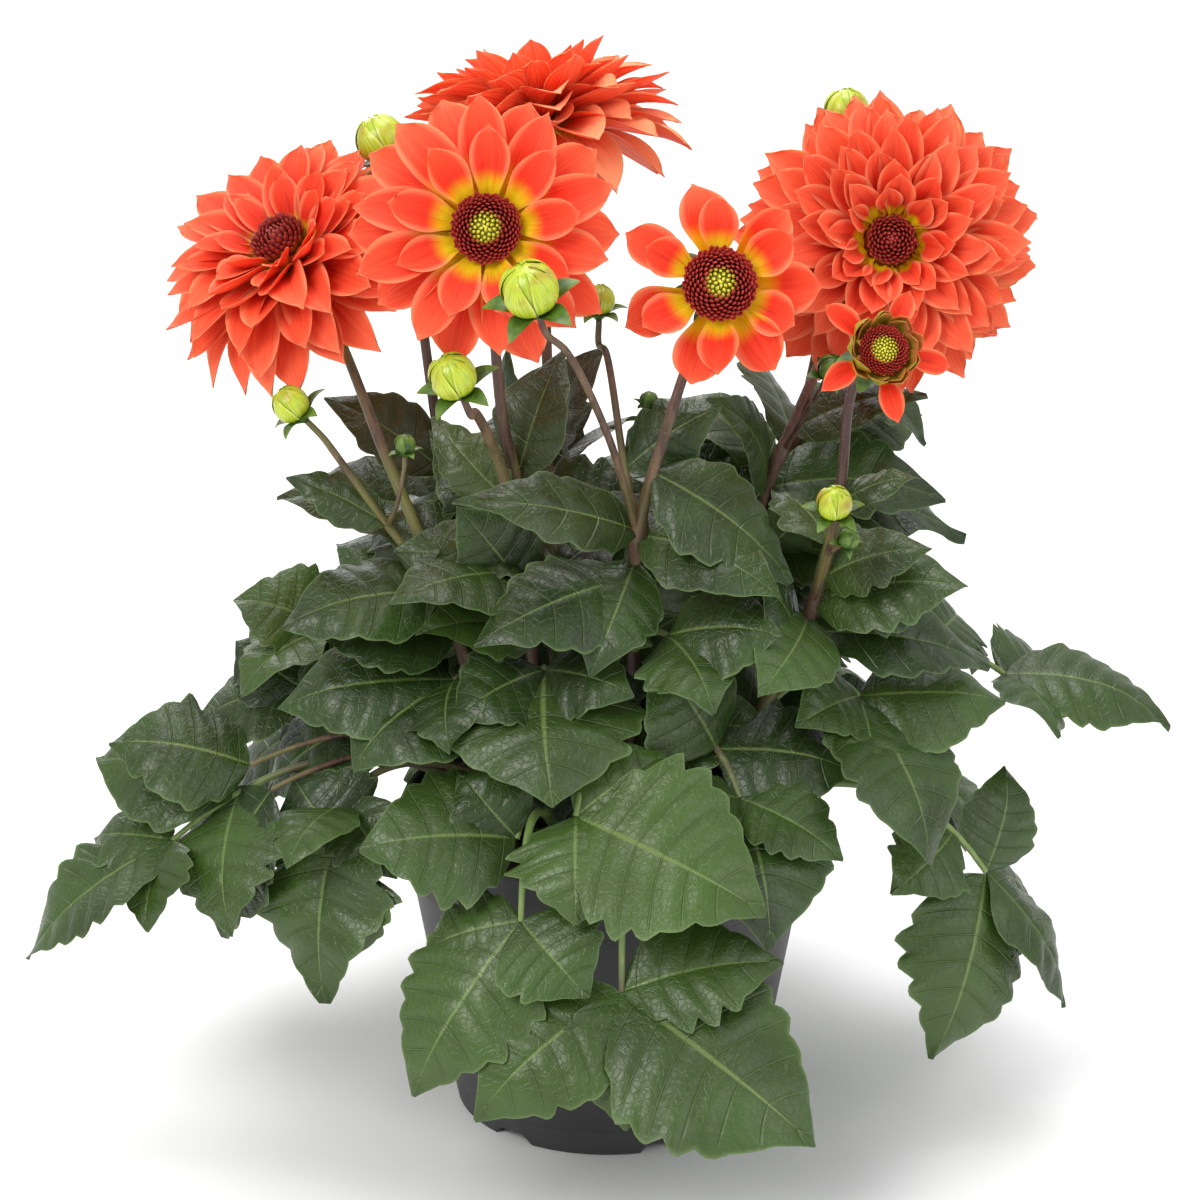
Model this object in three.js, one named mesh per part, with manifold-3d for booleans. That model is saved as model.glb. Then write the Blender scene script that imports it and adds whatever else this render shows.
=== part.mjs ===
// Potted dahlia: a nursery pot of soil, flower stems, layered blooms, buds and compound leaves.
// Millimetres, +Z up, front towards -Y, origin on the ground under the middle of the pot.

import * as THREE from 'three';
import { mergeVertices } from 'three/addons/utils/BufferGeometryUtils.js';
import Module from 'manifold-3d';

const wasm = await Module();
wasm.setup();

// Driving dimensions
const POT_HEIGHT = 147;
const POT_BASE_RADIUS = 70;
const POT_RIM_RADIUS = 95;
const POT_WALL = 2;
const POT_LIP_DROP = 29;
const POT_FOOT_HEIGHT = 4;
const POT_FOOT_WIDTH = 6;
const POT_FLOOR_Z = 7;
const POT_SEGMENTS = 26;
const SOIL_TOP = 127;
const STEM_RADIUS = 3.4;
const BRANCH_RADIUS = 2.3;
const STALK_RADIUS = 1.5;
const PETIOLE_RADIUS = 2.1;
const PETIOLE_STEPS = 5;
const LEAF_THICKNESS = 1.8;
const PETAL_THICKNESS = 1.5;
const PETAL_ROLL = 0.16;
const PETAL_CUP = 0.2;
const SEAT_DEPTH = 3;
const BUD_FOOT = 1.35;
const CALYX_DEPTH = 0.76;
const CLEARANCE = 0.4;

// Materials
const MATERIALS = {
  pot: { color: 0x3e3d3f, roughness: 0.55, metalness: 0 },
  soil: { color: 0x3b3527, roughness: 0.95, metalness: 0 },
  stem: { color: 0x6a5248, roughness: 0.5, metalness: 0 },
  calyx: { color: 0x6f8a3c, roughness: 0.55, metalness: 0 },
  petal: { color: 0xf4502f, roughness: 0.6, metalness: 0 },
  disc: { color: 0x8f2c24, roughness: 0.7, metalness: 0 },
  bud: { color: 0xb8c23a, roughness: 0.45, metalness: 0 },
  leaf: { color: 0x4c6b3c, roughness: 0.5, metalness: 0 },
};

const UP = new THREE.Vector3(0, 0, 1);

function point(values) {
  return new THREE.Vector3(values[0], values[1], values[2]);
}

// A repeatable draw between 0 and 1
function seededDraw(seed) {
  let state = seed * 7919 + 17;
  return () => {
    state = (state * 1664525 + 1013904223) % 4294967296;
    return state / 4294967296;
  };
}

// Solids
function solidOf(geometry) {
  geometry.deleteAttribute('normal');
  geometry.deleteAttribute('uv');
  const merged = mergeVertices(geometry, 1e-3);
  return new wasm.Manifold(new wasm.Mesh({
    numProp: 3,
    vertProperties: new Float32Array(merged.attributes.position.array),
    triVerts: new Uint32Array(merged.index.array),
  }));
}

function geometryOf(solid) {
  const mesh = solid.getMesh();
  const geometry = new THREE.BufferGeometry();
  geometry.setAttribute('position', new THREE.BufferAttribute(new Float32Array(mesh.vertProperties), 3));
  geometry.setIndex(new THREE.BufferAttribute(new Uint32Array(mesh.triVerts), 1));
  const merged = mergeVertices(geometry, 1e-3);
  merged.computeVertexNormals();
  return merged;
}

function joined(solids) {
  return solids.slice(1).reduce((sum, solid) => sum.add(solid), solids[0]);
}

// The largest body of a solid that a cut may have left in pieces
function largestBody(solid) {
  const bodies = solid.decompose();
  return bodies.reduce((best, body) => (body.volume() > best.volume() ? body : best), bodies[0]);
}

// The same solid with every face moved outward by a distance
function grown(solid, distance) {
  const mesh = solid.getMesh();
  const geometry = new THREE.BufferGeometry();
  geometry.setAttribute('position', new THREE.BufferAttribute(new Float32Array(mesh.vertProperties), 3));
  geometry.setIndex(new THREE.BufferAttribute(new Uint32Array(mesh.triVerts), 1));
  geometry.computeVertexNormals();
  const place = geometry.attributes.position;
  const normal = geometry.attributes.normal;
  const moved = new Float32Array(place.count * 3);
  for (let i = 0; i < place.count; i += 1) {
    moved[i * 3] = place.getX(i) + normal.getX(i) * distance;
    moved[i * 3 + 1] = place.getY(i) + normal.getY(i) * distance;
    moved[i * 3 + 2] = place.getZ(i) + normal.getZ(i) * distance;
  }
  return new wasm.Manifold(new wasm.Mesh({
    numProp: 3,
    vertProperties: moved,
    triVerts: new Uint32Array(mesh.triVerts),
  }));
}

// A round rod of few sides along a smooth path
function rod(points, radius, sides, steps) {
  return rodAlong(new THREE.CatmullRomCurve3(points, false, 'centripetal'), radius, sides, steps);
}

function rodAlong(path, radius, sides, steps) {
  const ring = [];
  for (let i = 0; i < sides; i += 1) {
    const angle = (i / sides) * Math.PI * 2;
    ring.push(new THREE.Vector2(Math.cos(angle) * radius, Math.sin(angle) * radius));
  }
  const section = new THREE.Shape(ring);
  return solidOf(new THREE.ExtrudeGeometry(section, { steps, extrudePath: path, bevelEnabled: false }));
}

// The point nearest a target on the straight runs between a rod's rings
function nearestOnRod(path, steps, target) {
  const rings = path.getSpacedPoints(steps);
  const lastRun = rings[steps].distanceTo(rings[steps - 1]);
  rings[steps].lerp(rings[steps - 1], Math.min(1, SEAT_DEPTH / lastRun));
  let best = rings[0];
  for (let i = 0; i < steps; i += 1) {
    const run = new THREE.Line3(rings[i], rings[i + 1]);
    const candidate = run.closestPointToPoint(target, true, new THREE.Vector3());
    if (candidate.distanceTo(target) < best.distanceTo(target)) {
      best = candidate;
    }
  }
  return best;
}

// A turned body whose profile starts and ends on its axis
function turned(profile, segments, axis, origin) {
  const geometry = new THREE.LatheGeometry(profile.map(([r, z]) => new THREE.Vector2(r, z)), segments);
  geometry.rotateX(Math.PI / 2);
  const turn = new THREE.Quaternion().setFromUnitVectors(UP, axis);
  geometry.applyQuaternion(turn);
  geometry.translate(origin.x, origin.y, origin.z);
  return solidOf(geometry);
}

function surface(points, faces) {
  const geometry = new THREE.BufferGeometry();
  geometry.setAttribute('position', new THREE.Float32BufferAttribute(points.flatMap((p) => [p.x, p.y, p.z]), 3));
  geometry.setIndex(faces);
  return geometry;
}

// A thin pointed blade: a leaflet, petal or bract, thickest along its rib and sharp at its margin.
// margin lists [share of length, share of half width] from base to tip, ribStops the rib's shares.
function blade({ from, tip, face, width, arch, fold, thickness, margin, ribStops, roll = 0 }) {
  const along = tip.clone().sub(from);
  const length = along.length();
  const direction = along.clone().normalize();
  const normal = face.clone().addScaledVector(direction, -face.dot(direction)).normalize();
  normal.applyAxisAngle(direction, roll);
  const side = new THREE.Vector3().crossVectors(direction, normal);
  const spine = (t) => from.clone()
    .addScaledVector(along, t)
    .addScaledVector(normal, arch * length * 4 * t * (1 - t));
  const points = [from.clone(), tip.clone()];
  const add = (p) => points.push(p) - 1;
  const half = thickness / 2;
  const top = [0, ...ribStops.map((t) => add(spine(t).addScaledVector(normal, half))), 1];
  const under = [0, ...ribStops.map((t) => add(spine(t).addScaledVector(normal, -half))), 1];
  const ribAt = [0, ...ribStops, 1];
  const marginAt = [0, ...margin.map(([t]) => t), 1];
  const faces = [];
  for (const hand of [-1, 1]) {
    const edge = [0, ...margin.map(([t, w]) => add(spine(t)
      .addScaledVector(side, hand * w * width / 2)
      .addScaledVector(normal, -fold * w * width / 2))), 1];
    for (const [a, b, c] of zipped(ribAt.length, marginAt.length, ribAt, marginAt)) {
      const pick = (chain) => [a, b, c].map(([isRib, index]) => (isRib ? chain[index] : edge[index]));
      const [p, q, r] = pick(top);
      const [u, v, w] = pick(under);
      faces.push(...(hand < 0 ? [p, r, q, u, v, w] : [p, q, r, u, w, v]));
    }
  }
  return solidOf(surface(points, faces));
}

// Triangles between the rib and one margin, which share their first and last points
function zipped(ribCount, edgeCount, ribAt, edgeAt) {
  const triangles = [];
  let i = 0;
  let j = 0;
  while (i < ribCount - 1 || j < edgeCount - 1) {
    const ribNext = i < ribCount - 1 ? ribAt[i + 1] : 2;
    const edgeNext = j < edgeCount - 1 ? edgeAt[j + 1] : 2;
    const first = i === 0 && j === 0;
    const last = i === ribCount - 2 && j === edgeCount - 2;
    if (first) {
      triangles.push([[false, 0], [false, 1], [true, 1]]);
      i = 1;
      j = 1;
    } else if (last) {
      triangles.push([[true, i], [false, j], [false, j + 1]]);
      i += 1;
      j += 1;
    } else if (ribNext <= edgeNext && i < ribCount - 2) {
      triangles.push([[true, i], [false, j], [true, i + 1]]);
      i += 1;
    } else {
      triangles.push([[true, i], [false, j], [false, j + 1]]);
      j += 1;
    }
  }
  return triangles;
}

// Margins: leaflets with coarse teeth, bracts plain
const LARGE_MARGIN = [[0.1, 0.46], [0.28, 1], [0.34, 0.84], [0.52, 0.96], [0.57, 0.76], [0.74, 0.64], [0.79, 0.42]];
const SMALL_MARGIN = [[0.12, 0.5], [0.36, 1], [0.42, 0.8], [0.66, 0.74], [0.72, 0.5]];
const YOUNG_MARGIN = [[0.16, 0.6], [0.44, 1], [0.52, 0.76], [0.76, 0.56]];
const BRACT_MARGIN = [[0.45, 1]];
const PETAL_MARGIN = [[0.28, 0.46], [0.6, 1], [0.86, 0.66]];
const CROWDED_PETAL_MARGIN = [[0.36, 0.66], [0.74, 0.96]];

function leaflet(from, tip, width, face) {
  const length = from.distanceTo(tip);
  const grownUp = length < 84 ? SMALL_MARGIN : LARGE_MARGIN;
  return blade({
    from,
    tip,
    face,
    width,
    arch: 0.09,
    fold: 0.16,
    thickness: LEAF_THICKNESS,
    margin: length < 58 ? YOUNG_MARGIN : grownUp,
    ribStops: [0.06, 0.5],
  });
}

// Leaves face up and away from the middle of the plant
function leafFace(from, tip) {
  const middle = from.clone().add(tip).multiplyScalar(0.5);
  return new THREE.Vector3(middle.x, middle.y - 30, 0).normalize().multiplyScalar(0.8).add(UP);
}

// Pot
function makePot() {
  const wallAt = (z) => POT_BASE_RADIUS + (z / POT_HEIGHT) * 26;
  const lipZ = POT_HEIGHT - POT_LIP_DROP;
  const profile = [
    [0, POT_FLOOR_Z - POT_WALL],
    [POT_BASE_RADIUS - POT_FOOT_WIDTH, POT_FLOOR_Z - POT_WALL],
    [POT_BASE_RADIUS - POT_FOOT_WIDTH, 0],
    [POT_BASE_RADIUS, 0],
    [wallAt(lipZ), lipZ - 2],
    [POT_RIM_RADIUS - 1.2, lipZ],
    [POT_RIM_RADIUS, POT_HEIGHT - 1.5],
    [POT_RIM_RADIUS - 0.8, POT_HEIGHT],
    [POT_RIM_RADIUS - POT_WALL - 0.6, POT_HEIGHT],
    [wallAt(lipZ) - POT_WALL, lipZ - 3],
    [wallAt(POT_FLOOR_Z) - POT_WALL, POT_FLOOR_Z],
    [0, POT_FLOOR_Z],
  ];
  let pot = turned(profile, POT_SEGMENTS, UP, new THREE.Vector3());
  const notch = new THREE.Shape([
    new THREE.Vector2(-10, -1), new THREE.Vector2(10, -1),
    new THREE.Vector2(7, POT_FOOT_HEIGHT), new THREE.Vector2(-7, POT_FOOT_HEIGHT),
  ]);
  for (let i = 0; i < 6; i += 1) {
    const cut = new THREE.ExtrudeGeometry(notch, { depth: 20, bevelEnabled: false });
    cut.rotateX(Math.PI / 2);
    cut.translate(0, -POT_BASE_RADIUS + 12, 0);
    cut.rotateZ(((i + 0.35) / 6) * Math.PI * 2);
    pot = pot.subtract(solidOf(cut));
    const hole = new THREE.CylinderGeometry(6, 6, 12, 8);
    hole.rotateX(Math.PI / 2);
    hole.translate(0, -44, POT_FLOOR_Z - POT_WALL / 2);
    hole.rotateZ((i / 6) * Math.PI * 2);
    pot = pot.subtract(solidOf(hole));
  }
  return pot;
}

// Soil, a little uneven on top
function makeSoil() {
  const wallAt = (z) => POT_BASE_RADIUS - POT_WALL - 0.3 + (z / POT_HEIGHT) * 26 - 1.2;
  const profile = [[0, POT_FLOOR_Z + 0.6], [wallAt(POT_FLOOR_Z), POT_FLOOR_Z + 0.6],
    [wallAt(105), 105], [86, SOIL_TOP - 5], [60, SOIL_TOP], [0, SOIL_TOP]];
  const geometry = new THREE.LatheGeometry(profile.map(([r, z]) => new THREE.Vector2(r, z)), POT_SEGMENTS / 2);
  geometry.rotateX(Math.PI / 2);
  const draw = seededDraw(5);
  const place = geometry.attributes.position;
  const lifts = new Map();
  for (let i = 0; i < place.count; i += 1) {
    if (place.getZ(i) > SOIL_TOP - 1 && Math.hypot(place.getX(i), place.getY(i)) > 5) {
      const key = `${Math.round(place.getX(i)) + 0},${Math.round(place.getY(i)) + 0}`;
      if (!lifts.has(key)) {
        lifts.set(key, draw() * 5 - 2.5);
      }
      place.setZ(i, place.getZ(i) + lifts.get(key));
    }
  }
  return solidOf(geometry);
}

// Stems: each shoot has a main line, side branches and small leaves.
// leaves lists [foot, tip, width], all in real places.
const SHOOTS = {
  stem_01: {
    main: [[-38, -12, 110], [-52, -26, 180], [-74, -45, 268], [-98, -24, 322], [-117, -3, 366], 'bloom_a'],
    branches: [
      [[-74, -45, 266], [-98, -45, 299], [-120, -47, 333], 'bud_04'],
      [[-97, -45, 297], [-92, -56, 312], [-88, -60, 332]],
    ],
    tips: [[[-88, -60, 329], [-88, -61, 341], 9]],
    leaves: [
      [[-74, -45, 268], [-146, -64, 258], 42],
      [[-97, -45, 298], [-142, -38, 318], 20],
      [[-66, -38, 240], [-122, -14, 276], 42],
      [[-56, -28, 200], [-152, 4, 220], 48],
    ],
  },
  stem_02: {
    main: [[-34, 14, 110], [-56, 13, 200], [-71, 15, 283], [-76, 19, 315], [-84, 24, 380], 'bud_01'],
    branches: [],
    leaves: [
      [[-70, 15, 278], [-150, 10, 292], 44],
      [[-73, 16, 300], [-128, 26, 334], 28],
      [[-70, 15, 278], [-72, 80, 296], 42],
      [[-62, 14, 240], [-126, 48, 256], 44],
    ],
  },
  stem_03: {
    main: [[-18, -26, 110], [-32, -38, 220], [-41, -48, 292], [-47, -61, 332], [-57, -80, 362], 'bud_03'],
    branches: [],
    leaves: [
      [[-38, -46, 272], [-94, -92, 282], 38],
      [[-38, -46, 266], [-66, -60, 312], 34],
      [[-33, -41, 244], [-82, -78, 262], 34],
      [[-43, -54, 312], [-78, -36, 346], 22],
    ],
  },
  stem_04: {
    main: [[-12, 0, 110], [-26, -16, 240], [-38, -30, 304], [-46, -40, 345], [-50, -44, 402], 'bloom_d'],
    branches: [],
    leaves: [
      [[-40, -33, 314], [-20, -14, 370], 30],
      [[-33, -24, 284], [-80, -8, 330], 34],
      [[-30, -20, 262], [-106, -28, 296], 40],
    ],
  },
  stem_05: {
    main: [[-8, 26, 110], [-18, 28, 240], [-26, 34, 320], [-28, 42, 380], 'bloom_e'],
    branches: [],
    leaves: [
      [[-22, 31, 290], [-6, 20, 360], 36],
      [[-24, 33, 300], [-50, 22, 354], 32],
      [[-22, 31, 290], [-40, 102, 312], 46],
      [[-18, 28, 250], [32, 98, 290], 46],
    ],
  },
  stem_06: {
    main: [[10, -22, 110], [11, -38, 210], [13, -58, 298], [24, -62, 344], [38, -46, 384], 'bloom_g'],
    branches: [
      [[13, -58, 298], [0, -82, 352], [-18, -104, 398], 'bud_02'],
      [[13, -58, 300], [7, -40, 325], [-1, -15, 368], 'bud_05'],
    ],
    tips: [[[7, -42, 322], [18, -22, 348], 8]],
    leaves: [
      [[13, -60, 300], [-64, -102, 332], 30],
      [[14, -60, 298], [76, -90, 282], 36],
      [[7, -42, 322], [50, -34, 350], 26],
      [[12, -54, 272], [-58, -98, 264], 40],
      [[20, -61, 330], [82, -66, 278], 42],
      [[12, -56, 284], [-8, -94, 246], 34],
      [[12, -50, 256], [58, -22, 310], 38],
    ],
  },
  stem_07: {
    main: [[34, -16, 110], [58, -30, 180], [90, -52, 262], [101, -60, 320], [105, -64, 366], 'bloom_k'],
    branches: [[[90, -52, 262], [96, -76, 300], 'bud_06']],
    tips: [[[95, -72, 294], [104, -84, 306], 9]],
    leaves: [
      [[90, -53, 264], [158, -66, 278], 38],
      [[82, -46, 240], [66, -76, 286], 34],
      [[84, -48, 248], [174, -30, 226], 34],
      [[92, -54, 268], [146, -18, 262], 44],
      [[89, -52, 258], [66, -100, 240], 36],
      [[100, -60, 312], [134, -76, 332], 15],
    ],
  },
  stem_08: {
    main: [[28, 6, 110], [46, 4, 200], [71, 6, 296], [82, 12, 322], [97, 34, 350], [114, 46, 384], 'bloom_j'],
    branches: [[[78, 10, 311], [90, -10, 342], [95, -21, 356]]],
    tips: [[[94, -20, 354], [98, -25, 364], 12]],
    leaves: [
      [[71, 6, 294], [154, 14, 288], 42],
      [[75, 8, 305], [22, 34, 334], 36],
      [[58, 4, 250], [86, -30, 296], 36],
      [[71, 6, 294], [48, -22, 350], 34],
      [[62, 5, 262], [148, -16, 256], 44],
      [[82, 12, 322], [142, 4, 344], 28],
    ],
  },
  stem_09: {
    main: [[24, 28, 110], [52, 32, 200], [84, 38, 300], [102, 47, 390], 'bud_07'],
    branches: [],
    leaves: [
      [[86, 38, 306], [146, 68, 314], 44],
      [[94, 41, 340], [146, 34, 308], 36],
      [[78, 36, 282], [166, 40, 262], 42],
      [[86, 38, 306], [60, 86, 338], 40],
      [[70, 35, 256], [134, 92, 262], 48],
    ],
  },
};

// Where a stalk stops under the bud or bloom that it bears, and the straight run up to there
function stalkEnd(name) {
  const bud = BUDS[name];
  const { at, axis } = bud ?? BLOOMS[name];
  const depth = bud ? bud.radius * BUD_FOOT : BLOOMS[name].coreRadius * CALYX_DEPTH;
  const direction = point(axis).normalize();
  return [depth + 12, depth + CLEARANCE].map((back) => point(at).addScaledVector(direction, -back));
}

function stalkPath(points) {
  const places = points.flatMap((p) => (typeof p === 'string' ? stalkEnd(p) : [point(p)]));
  return new THREE.CatmullRomCurve3(places, false, 'centripetal');
}

function makeShoot(shoot) {
  const rods = [{ path: stalkPath(shoot.main), radius: STEM_RADIUS, sides: 5, steps: shoot.main.length + 3 }];
  for (const branch of shoot.branches) {
    rods.push({
      path: stalkPath(branch),
      radius: branch.length > 3 ? BRANCH_RADIUS : STALK_RADIUS,
      sides: 5,
      steps: branch.length,
    });
  }
  const parts = rods.map(({ path, radius, sides, steps }) => rodAlong(path, radius, sides, steps));
  const seat = (target) => rods.map(({ path, steps }) => nearestOnRod(path, steps, target))
    .reduce((best, p) => (p.distanceTo(target) < best.distanceTo(target) ? p : best));
  for (const [foot, tip, width] of shoot.tips ?? []) {
    parts.push(rod([seat(point(foot)), point(tip)], STALK_RADIUS * 0.7, 4, 1));
    parts.push(budGlobe(point(tip), width / 2, point(tip).sub(point(foot)).normalize(), 6));
  }
  for (const [foot, tip, width] of shoot.leaves) {
    parts.push(leaflet(seat(point(foot)), point(tip), width, leafFace(point(foot), point(tip))));
  }
  return joined(parts);
}

// Where a shoot's main line passes a height
function shootAt(shoot, height) {
  const path = stalkPath(shoot.main);
  let low = 0;
  let high = 1;
  for (let i = 0; i < 30; i += 1) {
    const middle = (low + high) / 2;
    if (path.getPoint(middle).z < height) {
      low = middle;
    } else {
      high = middle;
    }
  }
  return path.getPoint(low);
}

// Buds
function budGlobe(centre, radius, axis, segments) {
  const profile = [[0, -radius], [radius * 0.78, -radius * 0.62], [radius, 0],
    [radius * 0.74, radius * 0.66], [0, radius * 0.98]];
  return turned(profile, segments, axis, centre);
}

// Each bud: its centre, radius, the way it points and how many spread bracts it has
const BUDS = {
  bud_01: { at: [-101, 34, 451], radius: 11, axis: [-0.5, 0.1, 0.85], bracts: 5 },
  bud_02: { at: [-33, -122, 431], radius: 12, axis: [-0.25, -0.45, 0.85], bracts: 5 },
  bud_03: { at: [-66, -99, 385], radius: 10, axis: [-0.3, -0.45, 0.85], bracts: 5 },
  bud_04: { at: [-138, -51, 356], radius: 8, axis: [-0.6, -0.2, 0.75], bracts: 5 },
  bud_05: { at: [-4, -9, 390], radius: 7, axis: [0, -0.1, 1], bracts: 5 },
  bud_06: { at: [97, -91, 325], radius: 7.5, axis: [0, -0.45, 0.9], bracts: 5 },
  bud_07: { at: [107, 63, 456], radius: 10, axis: [-0.1, -0.1, 1], bracts: 6 },
};

function frameOf(axis, origin) {
  const turn = new THREE.Quaternion().setFromUnitVectors(UP, axis);
  return (x, y, z) => new THREE.Vector3(x, y, z).applyQuaternion(turn).add(origin);
}

// A closed bud on its star of bracts
function makeBud({ at, radius, axis, bracts }) {
  const direction = point(axis).normalize();
  const centre = point(at);
  const ring = rosette({
    place: frameOf(direction, centre),
    layers: [{ count: bracts, length: radius * 1.3, width: radius * 0.75, lift: 0.05, sag: -0.08,
      root: radius * 0.4, height: -radius * 1.1, phase: 0.3, cup: 0.1 }],
    draw: seededDraw(Math.round(radius * 10)),
    bottom: -radius * BUD_FOOT,
    top: -radius * 0.6,
    thickness: 1.3,
    margin: BRACT_MARGIN,
  });
  return ring.add(budGlobe(centre, radius, direction, 7));
}

// Blooms: layers run from the outermost petals in.
// lift is the angle of the petals over the disc's plane, sag bends their tips back.
const BLOOMS = {
  bloom_a: {
    at: [-137, 3, 402], axis: [-0.42, -0.42, 0.8], coreRadius: 12, coreHeight: 14, discRadius: 11, dome: 0.75,
    seed: 3,
    layers: [
      { count: 11, length: 57, width: 19, lift: -0.42, sag: 0.1, height: 3 },
      { count: 11, length: 54, width: 19, lift: -0.12, sag: 0.08, height: 5 },
      { count: 10, length: 48, width: 18, lift: 0.18, sag: 0.05, height: 8 },
      { count: 9, length: 38, width: 15, lift: 0.48, sag: 0.02, height: 10 },
      { count: 7, length: 25, width: 12, lift: 0.85, sag: 0, height: 11 },
    ],
  },
  bloom_d: {
    at: [-51, -70, 440], axis: [-0.04, -0.92, 0.38], coreRadius: 14, coreHeight: 9, discRadius: 14, dome: 0.6,
    seed: 8,
    layers: [
      { count: 10, length: 47, width: 20, lift: -0.14, sag: 0.1, height: 2.5 },
      { count: 10, length: 45, width: 18, lift: 0.12, sag: 0.08, height: 5 },
      { count: 9, length: 33, width: 15, lift: 0.42, sag: 0.05, height: 7 },
    ],
  },
  bloom_e: {
    at: [-29, 52, 446], axis: [-0.12, 0.3, 0.94], coreRadius: 13, coreHeight: 15, discRadius: 11, dome: 0.6,
    seed: 12,
    layers: [
      { count: 11, length: 54, width: 20, lift: -0.22, sag: 0.07, height: 3 },
      { count: 11, length: 52, width: 19, lift: 0.1, sag: 0.06, height: 6 },
      { count: 10, length: 46, width: 17, lift: 0.42, sag: 0.04, height: 9 },
      { count: 8, length: 35, width: 15, lift: 0.75, sag: 0.02, height: 11 },
    ],
  },
  bloom_g: {
    at: [47, -51, 409], axis: [0.05, -0.9, 0.4], coreRadius: 14, coreHeight: 8, discRadius: 15, dome: 0.85,
    seed: 21,
    layers: [
      { count: 7, length: 32, width: 19, lift: 0.02, sag: 0.06, height: 2.5 },
      { count: 6, length: 27, width: 17, lift: 0.3, sag: 0.03, height: 5 },
    ],
  },
  bloom_j: {
    at: [124, 18, 408], axis: [0.02, -0.94, 0.34], coreRadius: 14, coreHeight: 20, discRadius: 9.5, dome: 0.85,
    seed: 34,
    layers: [
      { count: 14, length: 56, width: 19, lift: -0.3, sag: 0.05, height: 3 },
      { count: 14, length: 54, width: 18, lift: -0.04, sag: 0.05, height: 6 },
      { count: 12, length: 49, width: 17, lift: 0.2, sag: 0.04, height: 9 },
      { count: 11, length: 41, width: 15, lift: 0.44, sag: 0.03, height: 12 },
      { count: 9, length: 30, width: 13, lift: 0.72, sag: 0.01, height: 15 },
      { count: 7, length: 19, width: 11, lift: 1.02, sag: 0, height: 17 },
    ],
  },
  bloom_k: {
    at: [115, -79, 388], axis: [0.15, -0.88, 0.45], coreRadius: 11, coreHeight: 9, discRadius: 10, dome: 0.6,
    seed: 40,
    layers: [
      { count: 5, length: 21, width: 10, lift: 0.1, sag: 0.04, height: 2.5 },
      { count: 9, length: 15, width: 9, lift: 1.15, sag: -0.1, height: 5 },
    ],
  },
};

// One bloom's petals and core as a single closed skin. Each layer is a ring on the core's side:
// neighbouring petals meet at a notch on it, and bands of core join one ring to the next.
function rosette({ place, layers, draw, bottom, top, thickness, margin }) {
  const points = [place(0, 0, bottom), place(0, 0, top)];
  const faces = [];
  const add = (p) => points.push(p) - 1;
  const half = thickness / 2;
  let below = null;
  for (const layer of layers) {
    const step = (Math.PI * 2) / layer.count;
    const under = [];
    const over = [];
    const notches = [];
    for (let i = 0; i < layer.count; i += 1) {
      const angle = (i - 0.5 + layer.phase) * step;
      notches.push({ angle, index: add(place(Math.cos(angle) * layer.root, Math.sin(angle) * layer.root, layer.height)) });
    }
    for (let i = 0; i < layer.count; i += 1) {
      const angle = (i + layer.phase) * step;
      const lean = angle + (draw() - 0.5) * 0.1 * step;
      const lift = layer.lift + (draw() - 0.5) * 0.07;
      const length = layer.length * (0.94 + draw() * 0.12);
      const e = new THREE.Vector3(Math.cos(lean), Math.sin(lean), 0);
      const out = e.clone().multiplyScalar(Math.cos(lift)).addScaledVector(UP, Math.sin(lift));
      const face = e.clone().multiplyScalar(-Math.sin(lift)).addScaledVector(UP, Math.cos(lift));
      const side = new THREE.Vector3().crossVectors(out, face).applyAxisAngle(out, layer.roll ?? 0);
      const foot = new THREE.Vector3(Math.cos(angle) * layer.root, Math.sin(angle) * layer.root, layer.height);
      const spine = (t) => foot.clone().addScaledVector(out, length * t)
        .addScaledVector(face, layer.sag * length * 4 * t * (1 - t));
      const put = (p) => add(place(p.x, p.y, p.z));
      const baseOver = put(foot.clone().addScaledVector(face, half));
      const baseUnder = put(foot.clone().addScaledVector(face, -half));
      const ribOver = put(spine(0.5).addScaledVector(face, half));
      const ribUnder = put(spine(0.5).addScaledVector(face, -half));
      const tip = put(spine(1));
      const edge = (hand) => margin.map(([t, w]) => put(spine(t)
        .addScaledVector(side, hand * w * layer.width / 2)
        .addScaledVector(face, layer.cup * w * layer.width / 2)));
      const right = [notches[i].index, ...edge(1), tip];
      const left = [notches[(i + 1) % layer.count].index, ...edge(-1), tip];
      petalFaces(faces, right, baseOver, ribOver, false);
      petalFaces(faces, right, baseUnder, ribUnder, true);
      petalFaces(faces, left, baseOver, ribOver, true);
      petalFaces(faces, left, baseUnder, ribUnder, false);
      under.push(notches[i], { angle, index: baseUnder });
      over.push(notches[i], { angle, index: baseOver });
    }
    bandFaces(faces, below ?? [{ angle: 0, index: 0 }], under);
    below = over;
  }
  bandFaces(faces, below, [{ angle: 0, index: 1 }]);
  return solidOf(surface(points, faces));
}

// One half of a petal's face, from its rib to one edge
function petalFaces(faces, edge, base, rib, flipped) {
  const triangles = [[base, edge[0], edge[1]], [base, edge[1], rib]];
  for (let i = 1; i < edge.length - 1; i += 1) {
    triangles.push([rib, edge[i], edge[i + 1]]);
  }
  for (const [a, b, c] of triangles) {
    faces.push(...(flipped ? [a, c, b] : [a, b, c]));
  }
}

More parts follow.
